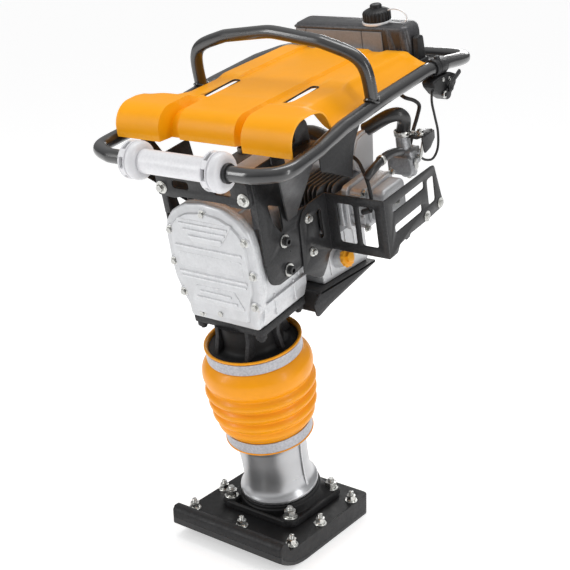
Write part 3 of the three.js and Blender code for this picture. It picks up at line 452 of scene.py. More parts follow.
def hexhead(p, d, af, h, n=48, mi=0, chamfer=0.5, hole=0):
    """hexagon nut or bolt head from p along d, with the corner chamfer"""
    V, F = [], []

    def hr(a):
        k = (a % (pi / 3)) - pi / 6
        return af / 2 / cos(k)
    rings = []
    for lvl in range(4):
        idx = []
        for i in range(n):
            a = 2 * pi * i / n
            r = hr(a)
            if lvl == 0:
                z, q = 0, r
            elif lvl == 1:
                z, q = h - (r - af / 2 * 0.97) * chamfer, r
            elif lvl == 2:
                z, q = h, af / 2 * 0.95
            else:
                z, q = h, max(0.1, hole)
            idx.append(len(V))
            V.append((q * cos(a), q * sin(a), z))
        rings.append(idx)
    for a, b in zip(rings, rings[1:]):
        for i in range(n):
            j = (i + 1) % n
            F.append([a[i], a[j], b[j], b[i]])
    F.append(list(rings[-1]))
    F.append(list(rings[0]))
    q = Vector(p) + Vector(d)
    return along([(V, F, mi)], p, tuple(q))


def thread(p, d, r, length, pitch=1.75, n=20, mi=0):
    prof = [(0, 0)]
    z = 0.0
    while z < length - pitch:
        prof += [(r * 0.87, z), (r, z + pitch * 0.5)]
        z += pitch
    prof += [(r * 0.87, z), (r * 0.8, length), (0, length)]
    return along(lathe(prof, n, mi=mi), p, tuple(Vector(p) + Vector(d)))


def bolt(p, d, af=10, h=5.5, washer=None, mi=0, flange=True, dimple=True):
    """flanged hexagon head"""
    d = Vector(d).normalized()
    out = []
    z = 0.0
    if washer:
        out += along(lathe([(0, 0), (washer, 0), (washer, 1.0), (washer - 0.5, 1.6), (0, 1.6)], 28, mi=mi), p, tuple(Vector(p) + d))
        z = 1.6
    q = Vector(p) + d * z
    if flange:
        out += along(lathe([(0, 0), (af * 0.82, 0), (af * 0.82, 0.9), (af * 0.56, 1.7), (0, 1.7)], 28, mi=mi), tuple(q), tuple(q + d))
        q = q + d * 1.2
    out += hexhead(tuple(q), tuple(d), af, h, mi=mi)
    return out


def nut(p, d, af, h, r, proud, washer, mi=0, twin=False):
    d = Vector(d).normalized()
    p = Vector(p)
    out = along(lathe([(0, 0), (washer, 0), (washer, 1.6), (washer - 0.6, 2.4), (0, 2.4)], 32, mi=mi), tuple(p), tuple(p + d))
    out += along(lathe([(0, 0), (washer * 0.72, 0), (washer * 0.72, 1.6), (washer * 0.66, 2.2), (0, 2.2)], 32, mi=mi), tuple(p + d * 2.4), tuple(p + d * 3.4))
    out += hexhead(tuple(p + d * 4.4), tuple(d), af, h, mi=mi)
    out += thread(tuple(p + d * (4.0 + h)), tuple(d), r, proud, mi=mi)
    return out


BUILT = []


def piece(name, parts, mats, body, replaces=(), M=LEG, angle=36, bevel=0.0, seg=2, sub=0, blend=None):
    me = bpy.data.meshes.new(name)
    bm = bmesh.new()
    for V, F, mi in parts:
        vs = [bm.verts.new(M @ Vector(v)) for v in V]
        for f in F:
            try:
                face = bm.faces.new([vs[k] for k in f])
            except ValueError:
                continue
            face.material_index = mi
            face.smooth = True
    bmesh.ops.remove_doubles(bm, verts=[v for v in bm.verts if not v.link_faces], dist=1e-9)
    for v in [v for v in bm.verts if not v.link_faces]:
        bm.verts.remove(v)
    bmesh.ops.recalc_face_normals(bm, faces=bm.faces)
    bm.to_mesh(me)
    bm.free()
    me.set_sharp_from_angle(angle=rad(angle))
    ob = bpy.data.objects.new(name, me)
    bpy.context.scene.collection.objects.link(ob)
    for k in mats:
        me.materials.append(MT[k])
    if bevel:
        md = ob.modifiers.new("bevel", "BEVEL")
        md.width = bevel * 0.001
        md.segments = seg
        md.limit_method = "ANGLE"
        md.angle_limit = rad(34)
        md.harden_normals = False
    if sub:
        md = ob.modifiers.new("sub", "SUBSURF")
        md.levels = md.render_levels = sub
    if blend:
        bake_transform(ob)
    else:
        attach(ob, body)
    if replaces:
        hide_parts(*replaces)
    BUILT.append(ob)
    return ob


def keep(node, mat, bevel=0.8, seg=2):
    """a CAD node that stays, with its edges broken and a finished material"""
    o = frame["nodes"][node]
    o.data.materials.clear()
    o.data.materials.append(MT[mat])
    o.data.shade_smooth()
    o.data.set_sharp_from_angle(angle=rad(36))
    if bevel:
        md = o.modifiers.new("bevel", "BEVEL")
        md.width = bevel * 0.001
        md.segments = seg
        md.limit_method = "ANGLE"
        md.angle_limit = rad(36)


# ================================================================== shoe
SHOE_TOP = 44.3


def xloft(profile, hw, rear, front, rr, rf):
    """profile (y, z) run across the width with the plan corners rounded"""
    xs = sorted(set([round(s * (hw - rr + rr * sin(a * pi / 16)), 3) for s in (-1, 1) for a in range(9)] + [round(s * x, 3) for s in (-1, 1) for x in (0, 40, 80)]
                    + [round(s * (hw - rf + rf * sin(a * pi / 8)), 3) for s in (-1, 1) for a in range(5)]))
    V, F, n = [], [], len(profile)
    for x in xs:
        ax = abs(x)
        lim_r = rear - (rr - math.sqrt(max(0, rr * rr - max(0, ax - (hw - rr)) ** 2)))
        lim_f = front + (rf - math.sqrt(max(0, rf * rf - max(0, ax - (hw - rf)) ** 2)))
        for y, z in profile:
            V.append((x, min(lim_r, max(lim_f, y)), z))
    for i in range(len(xs) - 1):
        for k in range(n):
            j = (k + 1) % n
            F.append([i * n + k, i * n + j, (i + 1) * n + j, (i + 1) * n + k])
    F.append(list(range(n)))
    F.append(list(range((len(xs) - 1) * n, len(xs) * n)))
    return [(V, F, 0)]


wear = [(122, 0), (-112, 0), (-126, 1.4), (-140, 4), (-153, 7.8), (-165, 13), (-174, 17.4), (-182, 22), (-190, 27), (-197, 32), (-197, 46),
        (-190, 46), (-188, 37), (-176, 28), (-161, 19.5), (-150, 14.6), (-138, 11), (-111, 7), (122, 7)]
piece("sole_plate", xloft(wear, 142.5, 122, -197, 15, 5), ["powder"], "leg", ["wear_plate"], M=ROW, bevel=2.4, seg=3)
shoe_prof = [(122, 7.3), (-111, 7.3), (-138, 11.3), (-150, 14.9), (-161, 19.8), (-175.7, 28.3), (-187.6, 37.3), (-189.6, 46.6), (-197, 46.6), (-197, 58), (-195.6, 62),
             (-190, 67.5), (-186, 69), (-176, 68.4), (-172.6, 66), (-165, 47), (-162.5, 44.9), (-158, SHOE_TOP), (122, SHOE_TOP)]
piece("shoe_body", xloft(shoe_prof, 142.5, 122, -197, 15, 5), ["shoe"], "leg", ["shoe"], M=ROW, bevel=2.6, seg=3)
studs = [(-128.5, -141), (0, -141), (128.5, -141), (-128.5, -42), (128.5, -42), (-128.5, 73), (0, 105), (128.5, 73)]
parts = []
for k, (x, y) in enumerate(studs):
    parts += nut((x, y, SHOE_TOP - 0.2), (0, 0, 1), 17.5, 9.5, 5.2, 9, 13.5)
piece("shoe_fasteners", parts, ["zinc"], "leg", M=ROW, bevel=0)

# ================================================================== foot casting
parts = []
n = 144
rings = []
V, F = [], []


def superring(z, half_x0, half_x1, y0, y1, r, tilt=0.0, mixc=None):
    idx = []
    for i in range(n):
        a = 2 * pi * i / n
        # rounded rectangle by casting a ray from the centre
        cx, cy = (half_x0 + half_x1) / 2, (y0 + y1) / 2
        hx, hy = (half_x1 - half_x0) / 2, (y1 - y0) / 2
        k = 1 / max(abs(cos(a)) / hx, abs(sin(a)) / hy)
        x, y = k * cos(a), k * sin(a)
        ox, oy = abs(x) - (hx - r), abs(y) - (hy - r)
        if ox > 0 and oy > 0:
            # on a corner: intersect the ray with the corner circle
            cxx, cyy = math.copysign(hx - r, x), math.copysign(hy - r, y)
            dx, dy = cos(a), sin(a)
            bq = dx * cxx + dy * cyy
            cq = cxx * cxx + cyy * cyy - r * r
            k = bq + math.sqrt(max(0, bq * bq - cq))
            x, y = k * dx, k * dy
        p = Vector((cx + x, cy + y, z))
        if mixc:
            rr, wz, t = mixc
            q = Vector((rr * cos(a), rr * sin(a) * cos(rad(12)) - wz * sin(rad(12)), SHOE_TOP + rr * sin(a) * sin(rad(12)) + wz * cos(rad(12))))
            p = p.lerp(q, t)
        idx.append(len(V))
        V.append(tuple(p))
    rings.append(idx)


superring(SHOE_TOP + 0.35, -97, 97, -98, 90, 26)
superring(SHOE_TOP + 11.0, -97, 97, -98, 90, 26)
superring(SHOE_TOP + 13.4, -95, 95, -96, 88, 25)
superring(SHOE_TOP + 14.0, -91, 91, -92, 84, 24)
superring(SHOE_TOP + 15.0, -84, 84, -86, 80, 26, mixc=(93, 17, 0.55))
superring(SHOE_TOP + 16.0, -80, 80, -82, 78, 26, mixc=(89.6, 21, 1.0))
for rr, wz in ((88.0, 25), (87.2, 33), (86.6, 36.6), (84.4, 37.6), (83.8, 38.6), (83.8, 42.6), (82.6, 44.4), (76, 45.6), (61.2, 45.6), (61.2, 30)):
    superring(SHOE_TOP, -80, 80, -82, 78, 26, mixc=(rr, wz, 1.0))
for a, b in zip(rings, rings[1:]):
    for i in range(n):
        j = (i + 1) % n
        F.append([a[i], a[j], b[j], b[i]])
F.append(list(rings[0]))
F.append(list(rings[-1]))
parts = [(V, F, 0)]
for x, y in ((-78, -78), (78, -78), (-78, 70), (78, 70)):
    parts += lathe([(0, 50), (19.5, 50), (19, 59.4), (17.6, 60.6), (0, 60.6)], 40, at=(x, y, 0))
    # web from each pad up to the collar
    d = Vector((-x, -y - 8, 0)).normalized()
    s = Vector((-d.y, d.x, 0)) * 6
    c = Vector((x, y, 0))
    a0, a1, top = c + d * 12, c + d * 38, 27
    W = [a0 - s, a0 + s, a1 + s, a1 - s]
    VV = [(*(p.xy), 52) for p in W] + [(W[0].x, W[0].y, 61), (W[1].x, W[1].y, 61), (W[2].x, W[2].y, 72), (W[3].x, W[3].y, 72)]
    parts.append((VV, [[0, 1, 2, 3], [4, 5, 6, 7], [0, 1, 5, 4], [1, 2, 6, 5], [2, 3, 7, 6], [3, 0, 4, 7]], 0))
piece("foot_base", parts, ["casting"], "leg", ["foot_casting"], M=ROW, bevel=0.8, angle=50)
parts = []
for x, y in ((-78, -78), (78, -78), (-78, 70), (78, 70)):
    parts += nut((x, y, 60.5), (0, 0, 1), 22, 11.5, 6.6, 8, 15.5)
piece("foot_fasteners", parts, ["zinc"], "leg", ["foot_bolt_front_left", "foot_bolt_front_right", "foot_bolt_rear_left", "foot_bolt_rear_right"], M=ROW)

# ================================================================== leg sleeve
prof = [(61, 46.4), (80.6, 46.4), (82.6, 47.4), (83.3, 49.6), (83.3, 53.0), (82.6, 55.2), (80.4, 57.6), (77.6, 61.4), (75.2, 66), (73.4, 71.5), (72, 78), (71, 86), (70.4, 96), (70.6, 114),
        (71.4, 138), (73.0, 162), (74.8, 174), (77.5, 179), (80.8, 182), (82.6, 184.6), (83, 187), (83, 207), (82, 208), (61, 208)]
parts = lathe(prof, 144, closed=True)
for s in (1, -1):  # parting rib up each side
    R = [(74.5, 62, 5.5), (72.2, 78, 4.2), (71.4, 100, 3.6), (72.4, 142, 3.4), (75.6, 176, 3.4)]
    V, F = [], []
    for r, w, hw in R:
        V += [(s * (r - 3), -hw, w), (s * (r + 2.6), -hw * 0.55, w), (s * (r + 2.6), hw * 0.55, w), (s * (r - 3), hw, w)]
    for i in range(len(R) - 1):
        for k in range(4):
            j = (k + 1) % 4
            F.append([i * 4 + k, i * 4 + j, i * 4 + 4 + j, i * 4 + 4 + k])
    F += [[0, 1, 2, 3], [len(V) - 4, len(V) - 3, len(V) - 2, len(V) - 1]]
    parts.append((V, F, 0))
piece("leg_tube", parts, ["polish"], "leg", ["leg_sleeve"])

# ================================================================== bellows
keys = [(88.0, 208), (88.6, 211), (91, 215), (96.5, 220), (100.6, 226), (101.6, 232), (100.2, 237), (99.4, 240), (101, 243.6), (106, 248), (108.5, 253), (107, 259), (103, 263.6), (101.8, 266), (103.4, 269.4), (109.4, 274.6), (111.8, 280),
        (110, 286), (105.6, 290.4), (104.2, 293), (106, 296.6), (112, 301), (114.6, 306.6), (112.6, 313), (107.6, 318), (106.2, 321), (107.4, 325), (111, 331), (113, 340), (113, 351), (110.4, 361), (104.6, 370), (98.4, 376.6), (95.4, 379), (95, 381)]
sm = [(p.x, p.y) for p in spline([(a, b, 0) for a, b in keys], 4)]
inner = [(r - 4.2, w) for r, w in reversed(sm)]
outer_prof = [(84.6, 183.8), (89.6, 183.0), (92.4, 184.4), (91.6, 186.0), (88.2, 187.0)] + sm + [(95, 402), (97.2, 403.6), (99.2, 405.6), (99.0, 408.0), (96.6, 408.8), (93.4, 407.6), (91.2, 404)]
prof = outer_prof + [(91.2, 381)] + inner + [(84.6, 206)]
piece("bellows_boot", lathe(prof, 144, closed=True), ["boot"], None, ["bellows"], angle=70, blend=("leg", "machine", P(0, 0, 212), P(0, 0, 376)))


def band(w, r, hw, name, node, body):
    parts = lathe([(r + 0.3, w - hw), (r + 2.2, w - hw), (r + 2.6, w - hw + 0.5), (r + 2.6, w + hw - 0.5), (r + 2.2, w + hw), (r + 0.3, w + hw)], 144, closed=True)
    # band tail and worm screw housing behind
    tail = []
    V, F = [], []
    m = 14
    for i in range(m + 1):
        a = rad(90 - 9 + 24 * i / m)
        for rr, ww in ((r + 2.7, w - hw + 1), (r + 4.2, w - hw + 1), (r + 4.2, w + hw - 1), (r + 2.7, w + hw - 1)):
            V.append((rr * cos(a), rr * sin(a), ww))
    for i in range(m):
        for k in range(4):
            j = (k + 1) % 4
            F.append([i * 4 + k, i * 4 + j, i * 4 + 4 + j, i * 4 + 4 + k])
    F += [[0, 1, 2, 3], [4 * m, 4 * m + 1, 4 * m + 2, 4 * m + 3]]
    parts.append((V, F, 0))
    parts += box(-11, 11, r + 3, r + 11.6, w - 6.5, w + 6.5, 1.6, 3)
    parts += rod((-17, r + 8, w), (17, r + 8, w), 4.2, 24)
    parts += hexhead((17, r + 8, w), (1, 0, 0), 7.6, 5)
    piece(name, parts, ["band"], body, [node])


band(198, 88.2, 11.4, "boot_band_lower", "lower_clamp", "leg")
band(391, 95.2, 11.4, "boot_band_upper", "upper_clamp", "machine")

# ================================================================== guide cylinder, neck, ribs and base flange
parts = lathe([(53, 382), (89.6, 382), (90.4, 383), (90.8, 398), (90.4, 400.4), (88, 401.4), (74, 401.8), (66, 403.6), (62, 408), (60.4, 416), (60.2, 450), (62.5, 457), (68, 462.4), (72, 464), (53, 464)], 96, closed=True)
parts += lathe([(53, 234), (57.4, 234), (58, 235), (58, 382), (53, 382)], 64, closed=True)
parts += plate("Z", fillet([(-86, -64, 7), (86, -64, 7), (86, 80, 7), (-86, 80, 7)]), [circle(0, 0, 54, 48)], 463.0, 478.6, 1.4)
for sx in (-1, 1):
    for sv in (-1, 1):
        parts += plate("X", [(sv * 72, 400.5), (sv * 38, 400.5), (sv * 38, 465), (sv * 56, 465), (sv * 58, 436)], [], sx * 38 - 4.6, sx * 38 + 4.6, 1.2)
        parts += rod((sx * 73, -53 if sv < 0 else 67, 453), (sx * 73, -53 if sv < 0 else 67, 465), 11, 32, 1.2)
        parts += bolt((sx * 73, -53 if sv < 0 else 67, 453.5), (0, 0, -1), 11, 5.5, mi=2)
    parts += plate("Y", [(sx * 78, 400.5), (sx * 50, 400.5), (sx * 50, 465), (sx * 74, 465), (sx * 70, 436)], [], -5, 5, 1.2)
piece("guide_housing", parts, ["casting", "casting", "plastic"], "machine", ["guide_cylinder"])

# ================================================================== gear case
CB = 479


def case_outline(i):
    h = [(0, 732 - i, 60), (48 - i * 0.4, 726 - i, 50), (80 - i * 0.75, 708 - i * 0.75, 30), (98 - i * 0.9, 686 - i * 0.4, 26), (105.5 - i, 655, 40), (107.5 - i, 600, 60), (105 - i, 563, 24),
         (92 - i, 520 + i * 0.5, 10), (85 - i, 505 + i * 0.4, 8), (84 - i, CB + i, 6)]
    return fillet(h + [(-x, w, q) for x, w, q in h[:0:-1]], 6)


def stack(levels, mi=0):
    """closed form from outlines of equal count at rising v: [(v, outline)]"""
    V, F, n = [], [], len(levels[0][1])
    for v, o in levels:
        V += [(x, v, w) for x, w in o]
    for i in range(len(levels) - 1):
        for k in range(n):
            j = (k + 1) % n
            F.append([i * n + k, i * n + j, (i + 1) * n + j, (i + 1) * n + k])
    F.append(list(range(n)))
    F.append(list(range((len(levels) - 1) * n, len(levels) * n)))
    return [(V, F, mi)]


parts = stack([(-58.1, case_outline(0.4)), (-57.6, case_outline(0)), (-49, case_outline(0)), (-48, case_outline(1.2))])
body_o = lambda i: fillet([(-84 + i, CB + i, 6), (84 - i, CB + i, 6), (94 - i, 510, 15), (95 - i, 650, 34), (88 - i, 690 - i, 24), (55, 712 - i, 24), (-55, 712 - i, 24), (-88 + i, 690 - i, 24), (-95 + i, 650, 34), (-94 + i, 510, 15)], 6)
parts += stack([(-52, body_o(2)), (-48, body_o(0)), (79, body_o(0)), (83, body_o(1.4)), (85, body_o(5))])
for s in (1, -1):
    for w, x in ((606, 98), (530, 99.5)):
        parts += box(min(s * 90, s * x), max(s * 90, s * x), -48, 78, w - 2.2, w + 2.2, 1.2)
    for w in (638, 578):
        parts += rod((s * 88, 9.5, w), (s * 98.4, 9.5, w), 15.5, 40, 1)
    for w, v in ((560, 60), (668, 60), (516, -20), (516, 40), (668, -20)):
        parts += box(min(s * 88, s * 96.4), max(s * 88, s * 96.4), v - 2.2, v + 2.2, w - 22, w + 22, 1.2)
for x in (-60, -20, 20, 60):
    parts += box(x - 2, x + 2, -48, 76, 700, 715 - abs(x) * 0.04, 1)
piece("gear_housing", parts, ["alu"], "machine", ["gearcase"], bevel=0)

parts = stack([(-58.4, case_outline(0.8)), (-59, case_outline(0)), (-63.5, case_outline(0)), (-66.5, case_outline(0.8)), (-68.6, case_outline(2.6)), (-69.6, case_outline(5.0)), (-69.6, case_outline(15.0)),
               (-70.2, case_outline(16.2)), (-73.2, case_outline(17.4)), (-74.4, case_outline(18.4)), (-74.8, case_outline(20.5))])


def rib(x0, w0, x1, w1, t=3.2, h=2.6, v=-74.6, base=1.0):
    d = Vector((x1 - x0, w1 - w0)).normalized()
    nx, nw = -d.y, d.x
    V = []
    for (x, w) in ((x0, w0), (x1, w1)):
        for k, hh in ((1.25, 0), (0.5, h), (-0.5, h), (-1.25, 0)):
            V.append((x + nx * t * k, v - hh + (base if hh == 0 else 0), w + nw * t * k))
    F = [[0, 1, 5, 4], [1, 2, 6, 5], [2, 3, 7, 6], [3, 0, 4, 7], [0, 1, 2, 3], [4, 5, 6, 7]]
    return [(V, F, 0)]


def raised(pts, h=1.8, t=3.0, v=-74.6):
    """panel with sloped edges standing proud of the cover"""
    c = Vector((sum(p[0] for p in pts) / len(pts), sum(p[1] for p in pts) / len(pts)))
    o0 = fillet([(x, w, 5) for x, w in pts], 3)
    sc = lambda k: fillet([(c.x + (x - c.x) * (1 - k / max(20, abs(x - c.x))), c.y + (w - c.y) * (1 - k / max(14, abs(w - c.y))), 5) for x, w in pts], 3)
    return stack([(v + 1, o0), (v - h * 0.7, sc(t * 0.5)), (v - h, sc(t)), ])


# upper trapezoid with three ribs, long bands, blank nameplate field and lower trapezoid
parts += raised([(-70, 700), (70, 700), (36, 652), (-36, 652)], 2.2, 4)
for w, hx in ((690, 58), (678, 50), (665, 40)):
    parts += rib(-hx, w, hx, w, 3.2, 2.8, -76.4)
parts += rib(-80, 640, 80, 640, 3.4, 3.0)
parts += raised([(-78, 628), (78, 628), (78, 596), (-78, 596)], 1.6, 3.4)
parts += rib(-82, 584, 82, 584, 3.8, 3.2) + rib(-78, 574, 78, 574, 3.0, 2.4)
parts += raised([(-48, 561), (48, 561), (68, 520), (-68, 520)], 2.2, 4)
for w, hx in ((548, 38), (534, 50)):
    parts += rib(-hx, w, hx, w, 3.2, 2.8, -76.4)
heads = []
for x, w in ((0, 712), (-90, 668), (90, 668), (-96, 600), (96, 600), (-88, 534), (88, 534), (0, 503)):
    parts += along(lathe([(0, 0), (10.6, 0), (10.4, 4.4), (9.4, 5.4), (0, 5.4)], 32), (x, -66, w), (x, -67, w))
    heads += bolt((x, -71.2, w), (0, -1, 0), 10.4, 5.2)
piece("gear_cover_plate", parts, ["alu"], "machine", ["gearcase_cover"], angle=28)
piece("gear_cover_screws", heads, ["zinc"], "machine")
# drain plug under the cover
piece("oil_drain_plug", bolt((-52, -69, 492), (0, -1, 0), 9, 4), ["zinc"], "machine")

for n_, m_ in (("spring_cylinder", "steel"), ("spring_cap", "steel"), ("piston_and_rod", "steel"),
               ("crank_gear", "bronze"), ("clutch_drum", "bronze"), ("crankshaft_and_clutch", "steel")):
    keep(n_, m_, 0.4 if "spring" not in n_ else 0)
# the springs between the ends of the spring cylinder and the piston, copied from their CAD nodes
for n_, w0, w1 in (("spring_lower", 67.5, 186.0), ("spring_upper", 318.0, 213.0)):
    src = frame["nodes"][n_]
    ob = bpy.data.objects.new(n_.replace("spring_", "leg_spring_"), src.data.copy())
    bpy.context.scene.collection.objects.link(ob)
    ob.data.materials.clear()
    ob.data.materials.append(MT["steel"])
    ob.data.shade_smooth()
    ob.data.set_sharp_from_angle(angle=rad(80))
    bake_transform(ob)
    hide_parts(n_)
    BUILT.append(ob)
keep("gusset_right", "powder", 0.8)
keep("gusset_left", "powder", 0.8)
piece("side_panel", plate("X", fillet([(58, 808, 3), (198, 808, 3), (184, 794, 20), (168, 774, 20), (158, 750, 20), (153, 730, 16), (151, 714, 3), (76, 756, 6), (58, 764, 6)], 5), [], 184, 187, 0.8), ["plastic"], "handle", ["side_shield"])

# ================================================================== side plates, cross plate, mounts
for s, sd in ((1, "right"), (-1, "left")):
    outline = fillet([(-46, 802), (-52, 612, 10), (-46, 572, 22), (-22, 561.5, 18), (34, 561, 14), (50, 563, 8), (104, 563, 8), (104, 672, 8), (62, 676, 12), (46, 802)], 6)
    slot_ = fillet([(-20, 724, 3), (14, 706, 3), (14, 664, 5), (6, 657, 4), (-12, 684, 6)], 3)
    p = plate("X", outline, [slot_, circle(9.5, 638, 7.5), circle(9.5, 578, 7.5), circle(84, 650, 4.5), circle(84, 580, 4.5)], 110, 115, 1.0)
    p += box(100, 114, -51.5, -46.5, 690, 800, 1.0)
    piece("frame_plate_" + sd, p if s > 0 else mirror(p), ["powder"], "handle", ["side_plate_" + sd])
    for w, nm in ((638, "upper"), (578, "lower")):
        q = lathe([(0, 98.9), (15, 98.9), (16, 100), (16, 108.6), (15, 109.6), (0, 109.6)], 48, "x", (0, 9.5, w))
        q += lathe([(7, 115.2), (12.6, 115.2), (13, 115.8), (13, 117.4), (12.4, 118), (6.6, 118)], 40, "x", (0, 9.5, w), mi=1)
        q += lathe([(0, 117.8), (8.0, 117.8), (8.6, 118.6), (8.6, 125.4), (7.8, 126.4), (5.6, 126.6), (4.4, 126.4), (4.0, 122), (0, 121.6)], 36, "x", (0, 9.5, w), mi=2)
        piece("frame_bush_%s_%s" % (nm, sd), q if s > 0 else mirror(q), ["rubber", "zinc", "powder"], "handle", ["frame_mount_%s_%s" % (nm, sd)])
p = plate("Y", fillet([(-109.5, 782, 5), (109.5, 782, 5), (109.5, 734, 5), (70, 731), (52, 736, 4), (-52, 736, 4), (-70, 731), (-109.5, 734, 5)], 4),
          [rrect(-70, -30, 752, 768, 6), rrect(30, 70, 752, 768, 6)], -62, -57, 1.0)
for s in (-1, 1):
    p += box(min(s * 105, s * 109.5), max(s * 105, s * 109.5), -58, -20, 740, 780, 1)
piece("cross_member", p, ["powder"], "handle", ["cross_plate"])
piece("cross_member_bolts", both(bolt((98, -62, 750), (0, -1, 0), 13, 6.5, washer=13)), ["zinc"], "handle")
# screws that clamp the guard to the frame plates
piece("guard_screws", bolt((118.4, 84, 650), (1, 0, 0), 11, 5.5, washer=9.5) + bolt((118.4, 84, 580), (1, 0, 0), 11, 5.5, washer=9.5), ["zinc"], "handle")

# ================================================================== handle loop and hoop
RAIL = 826
side = lambda s: [[s * 88.5, -108, 824, 0], [s * 165, -109, 825, 30], [s * 223, -91, RAIL, 50], [s * 216, 20, RAIL, 60], [s * 207, 110, 831, 80],
                  [s * 207, 250, 836, 120], [s * 207, 400, 834, 100], [s * 208, 490, 824, 70], [s * 211, 592, 803, 46]]
loop = bezpath(side(1) + side(-1)[::-1], 10)
# straight runs get extra points, so the tube turns evenly
fine = [loop[0]]
for a, b in zip(loop, loop[1:]):
    k = max(1, int((b - a).length / 9))
    fine += [a.lerp(b, (i + 1) / k) for i in range(k)]
for _ in range(14):
    fine = [fine[0]] + [(fine[i - 1] + fine[i] * 2 + fine[i + 1]) / 4 for i in range(1, len(fine) - 1)] + [fine[-1]]
piece("handle_tube", tube(fine, 13.8, 36), ["tube"], "handle", ["handle_loop"], angle=50)
HV = 212
F0 = 836 + 13.8 - 3
hoop = bezpath([[207, HV, F0, 0], [206, HV - 4, 926, 62], [114, HV - 8, 954, 70], [0, HV - 8, 968, 130], [-114, HV - 8, 954, 70], [-206, HV - 4, 926, 62], [-207, HV, F0, 0]], 12)
fine = [hoop[0]]
for a, b in zip(hoop, hoop[1:]):
    k = max(1, int((b - a).length / 7))
    fine += [a.lerp(b, (i + 1) / k) for i in range(k)]
for _ in range(12):
    fine = [fine[0]] + [(fine[i - 1] + fine[i] * 2 + fine[i + 1]) / 4 for i in range(1, len(fine) - 1)] + [fine[-1]]
parts = tube(fine, 12.6, 36)
for s in (1, -1):  # weld beads round the feet
    V, F, m = [], [], 60
    for i in range(m):
        a = 2 * pi * i / m
        wob = 1 + 0.10 * sin(a * 17) + 0.06 * sin(a * 29)
        c = Vector((s * 207 + 13.6 * cos(a), HV + 13.6 * sin(a), 0))
        c.z = 836 + math.sqrt(max(0, 14.6 ** 2 - (13.0 * cos(a)) ** 2)) + 0.4
        for k in range(6):
            t = 2 * pi * k / 6
            V.append((c.x + 2.6 * wob * cos(t) * cos(a), c.y + 2.6 * wob * cos(t) * sin(a), c.z + 2.6 * wob * sin(t)))
    for i in range(m):
        for k in range(6):
            j, q = (i + 1) % m, (k + 1) % 6
            F.append([i * 6 + k, i * 6 + q, j * 6 + q, j * 6 + k])
    parts.append((V, F, 0))
piece("lifting_bar", parts, ["tube"], "handle", ["lifting_hoop"], angle=50)
# collars that hold the roller on the bar
piece("roller_collars", both(lathe([(14, 113.6), (17.4, 113.6), (18, 114.4), (18, 119.4), (17.4, 120.2), (14, 120.2)], 40, "x", (0, -108, 824), closed=True)), ["powder"], "handle")

# ================================================================== transport roller
parts = lathe([(14.6, -79), (21.6, -79), (22.2, -78.4), (22.2, 78.4), (21.6, 79), (14.6, 79)], 64, "x", (0, -108, 824), closed=True)
piece("roller_sleeve", parts, ["white"], "roller", ["roller_tube"])
for s, sd in ((1, "right"), (-1, "left")):
    # drum with rim windows: hub, two rims and webs between the windows
    at = (0, -108, 824)
    # the hub section behind the windows is black plastic, painted shade inside the drum
    p = lathe([(14.6, 79.4), (26, 79.4), (27.4, 80.4), (27.4, 94), (14.6, 94)], 64, "x", at, closed=True, mi=1)
    p += lathe([(14.6, 93.6), (27, 93.6), (27, 112), (25.8, 113), (14.6, 113)], 64, "x", at, closed=True)
    p += lathe([(24, 92.4), (34.6, 92.4), (35.8, 93.2), (36, 94.4), (35.4, 95.6), (33.6, 96.4), (33.6, 97.6), (35.4, 98.4), (36.2, 100), (36.2, 103.6), (35.2, 107.4), (32.6, 110.6), (29, 112.6), (24, 113)], 64, "x", at, closed=True)
    p += lathe([(27.0, 79.4), (33.6, 79.4), (35.0, 80.2), (35.6, 81.6), (35.4, 83.2), (34.2, 84.2), (27.0, 84.2)], 64, "x", at, closed=True)
    for k in range(6):
        a = k * pi / 3 + 0.30
        V = []
        for x in (80.2, 93.4):
            for r, o in ((25.5, -7.0), (34.9, -7.6), (34.9, 7.6), (25.5, 7.0)):
                V.append((x, -108 + r * cos(a) - o * sin(a), 824 + r * sin(a) + o * cos(a)))
        p.append((V, [[0, 1, 2, 3], [4, 5, 6, 7], [0, 1, 5, 4], [1, 2, 6, 5], [2, 3, 7, 6], [3, 0, 4, 7]], 0))
    piece("roller_drum_" + sd, p if s > 0 else move(p, (-192.4, 0, 0)), ["white", "plastic"], "roller", ["roller_wheel_" + sd], bevel=0.4)


# ================================================================== mesh carving, for openings cut through curved skins
def carve(part, cutters, thick=0.0):
    def obj(parts, closed=True):
        me = bpy.data.meshes.new("tmp")
        bm = bmesh.new()
        for V, F, mi in parts:
            vs = [bm.verts.new(v) for v in V]
            for f in F:
                bm.faces.new([vs[k] for k in f])
        if closed:
            bmesh.ops.recalc_face_normals(bm, faces=bm.faces)
        bm.to_mesh(me)
        bm.free()
        ob = bpy.data.objects.new("tmp", me)
        bpy.context.scene.collection.objects.link(ob)
        return ob
    ob = obj(part, closed=not thick)
    if thick:
        md = ob.modifiers.new("s", "SOLIDIFY")
        md.thickness = thick
        md.offset = -1
        md.use_even_offset = True
    rest = []
    for c in cutters:
        co = obj(c)
        rest.append(co)
        md = ob.modifiers.new("b", "BOOLEAN")
        md.operation = "DIFFERENCE"
        md.solver = "MANIFOLD"
        md.object = co
    dg = bpy.context.evaluated_depsgraph_get()
    me = ob.evaluated_get(dg).to_mesh()
    V = [tuple(v.co) for v in me.vertices]
    F = [list(p.vertices) for p in me.polygons]
    ob.evaluated_get(dg).to_mesh_clear()
    for o in [ob] + rest:
        bpy.data.objects.remove(o)
    return [(V, F, part[0][2])]


# ================================================================== top cover
def smooth(a, b, x):
    t = max(0.0, min(1.0, (x - a) / (b - a)))
    return t * t * (3 - 2 * t)


def crisp(a, b, x):
    return max(0.0, min(1.0, (x - a) / (b - a)))


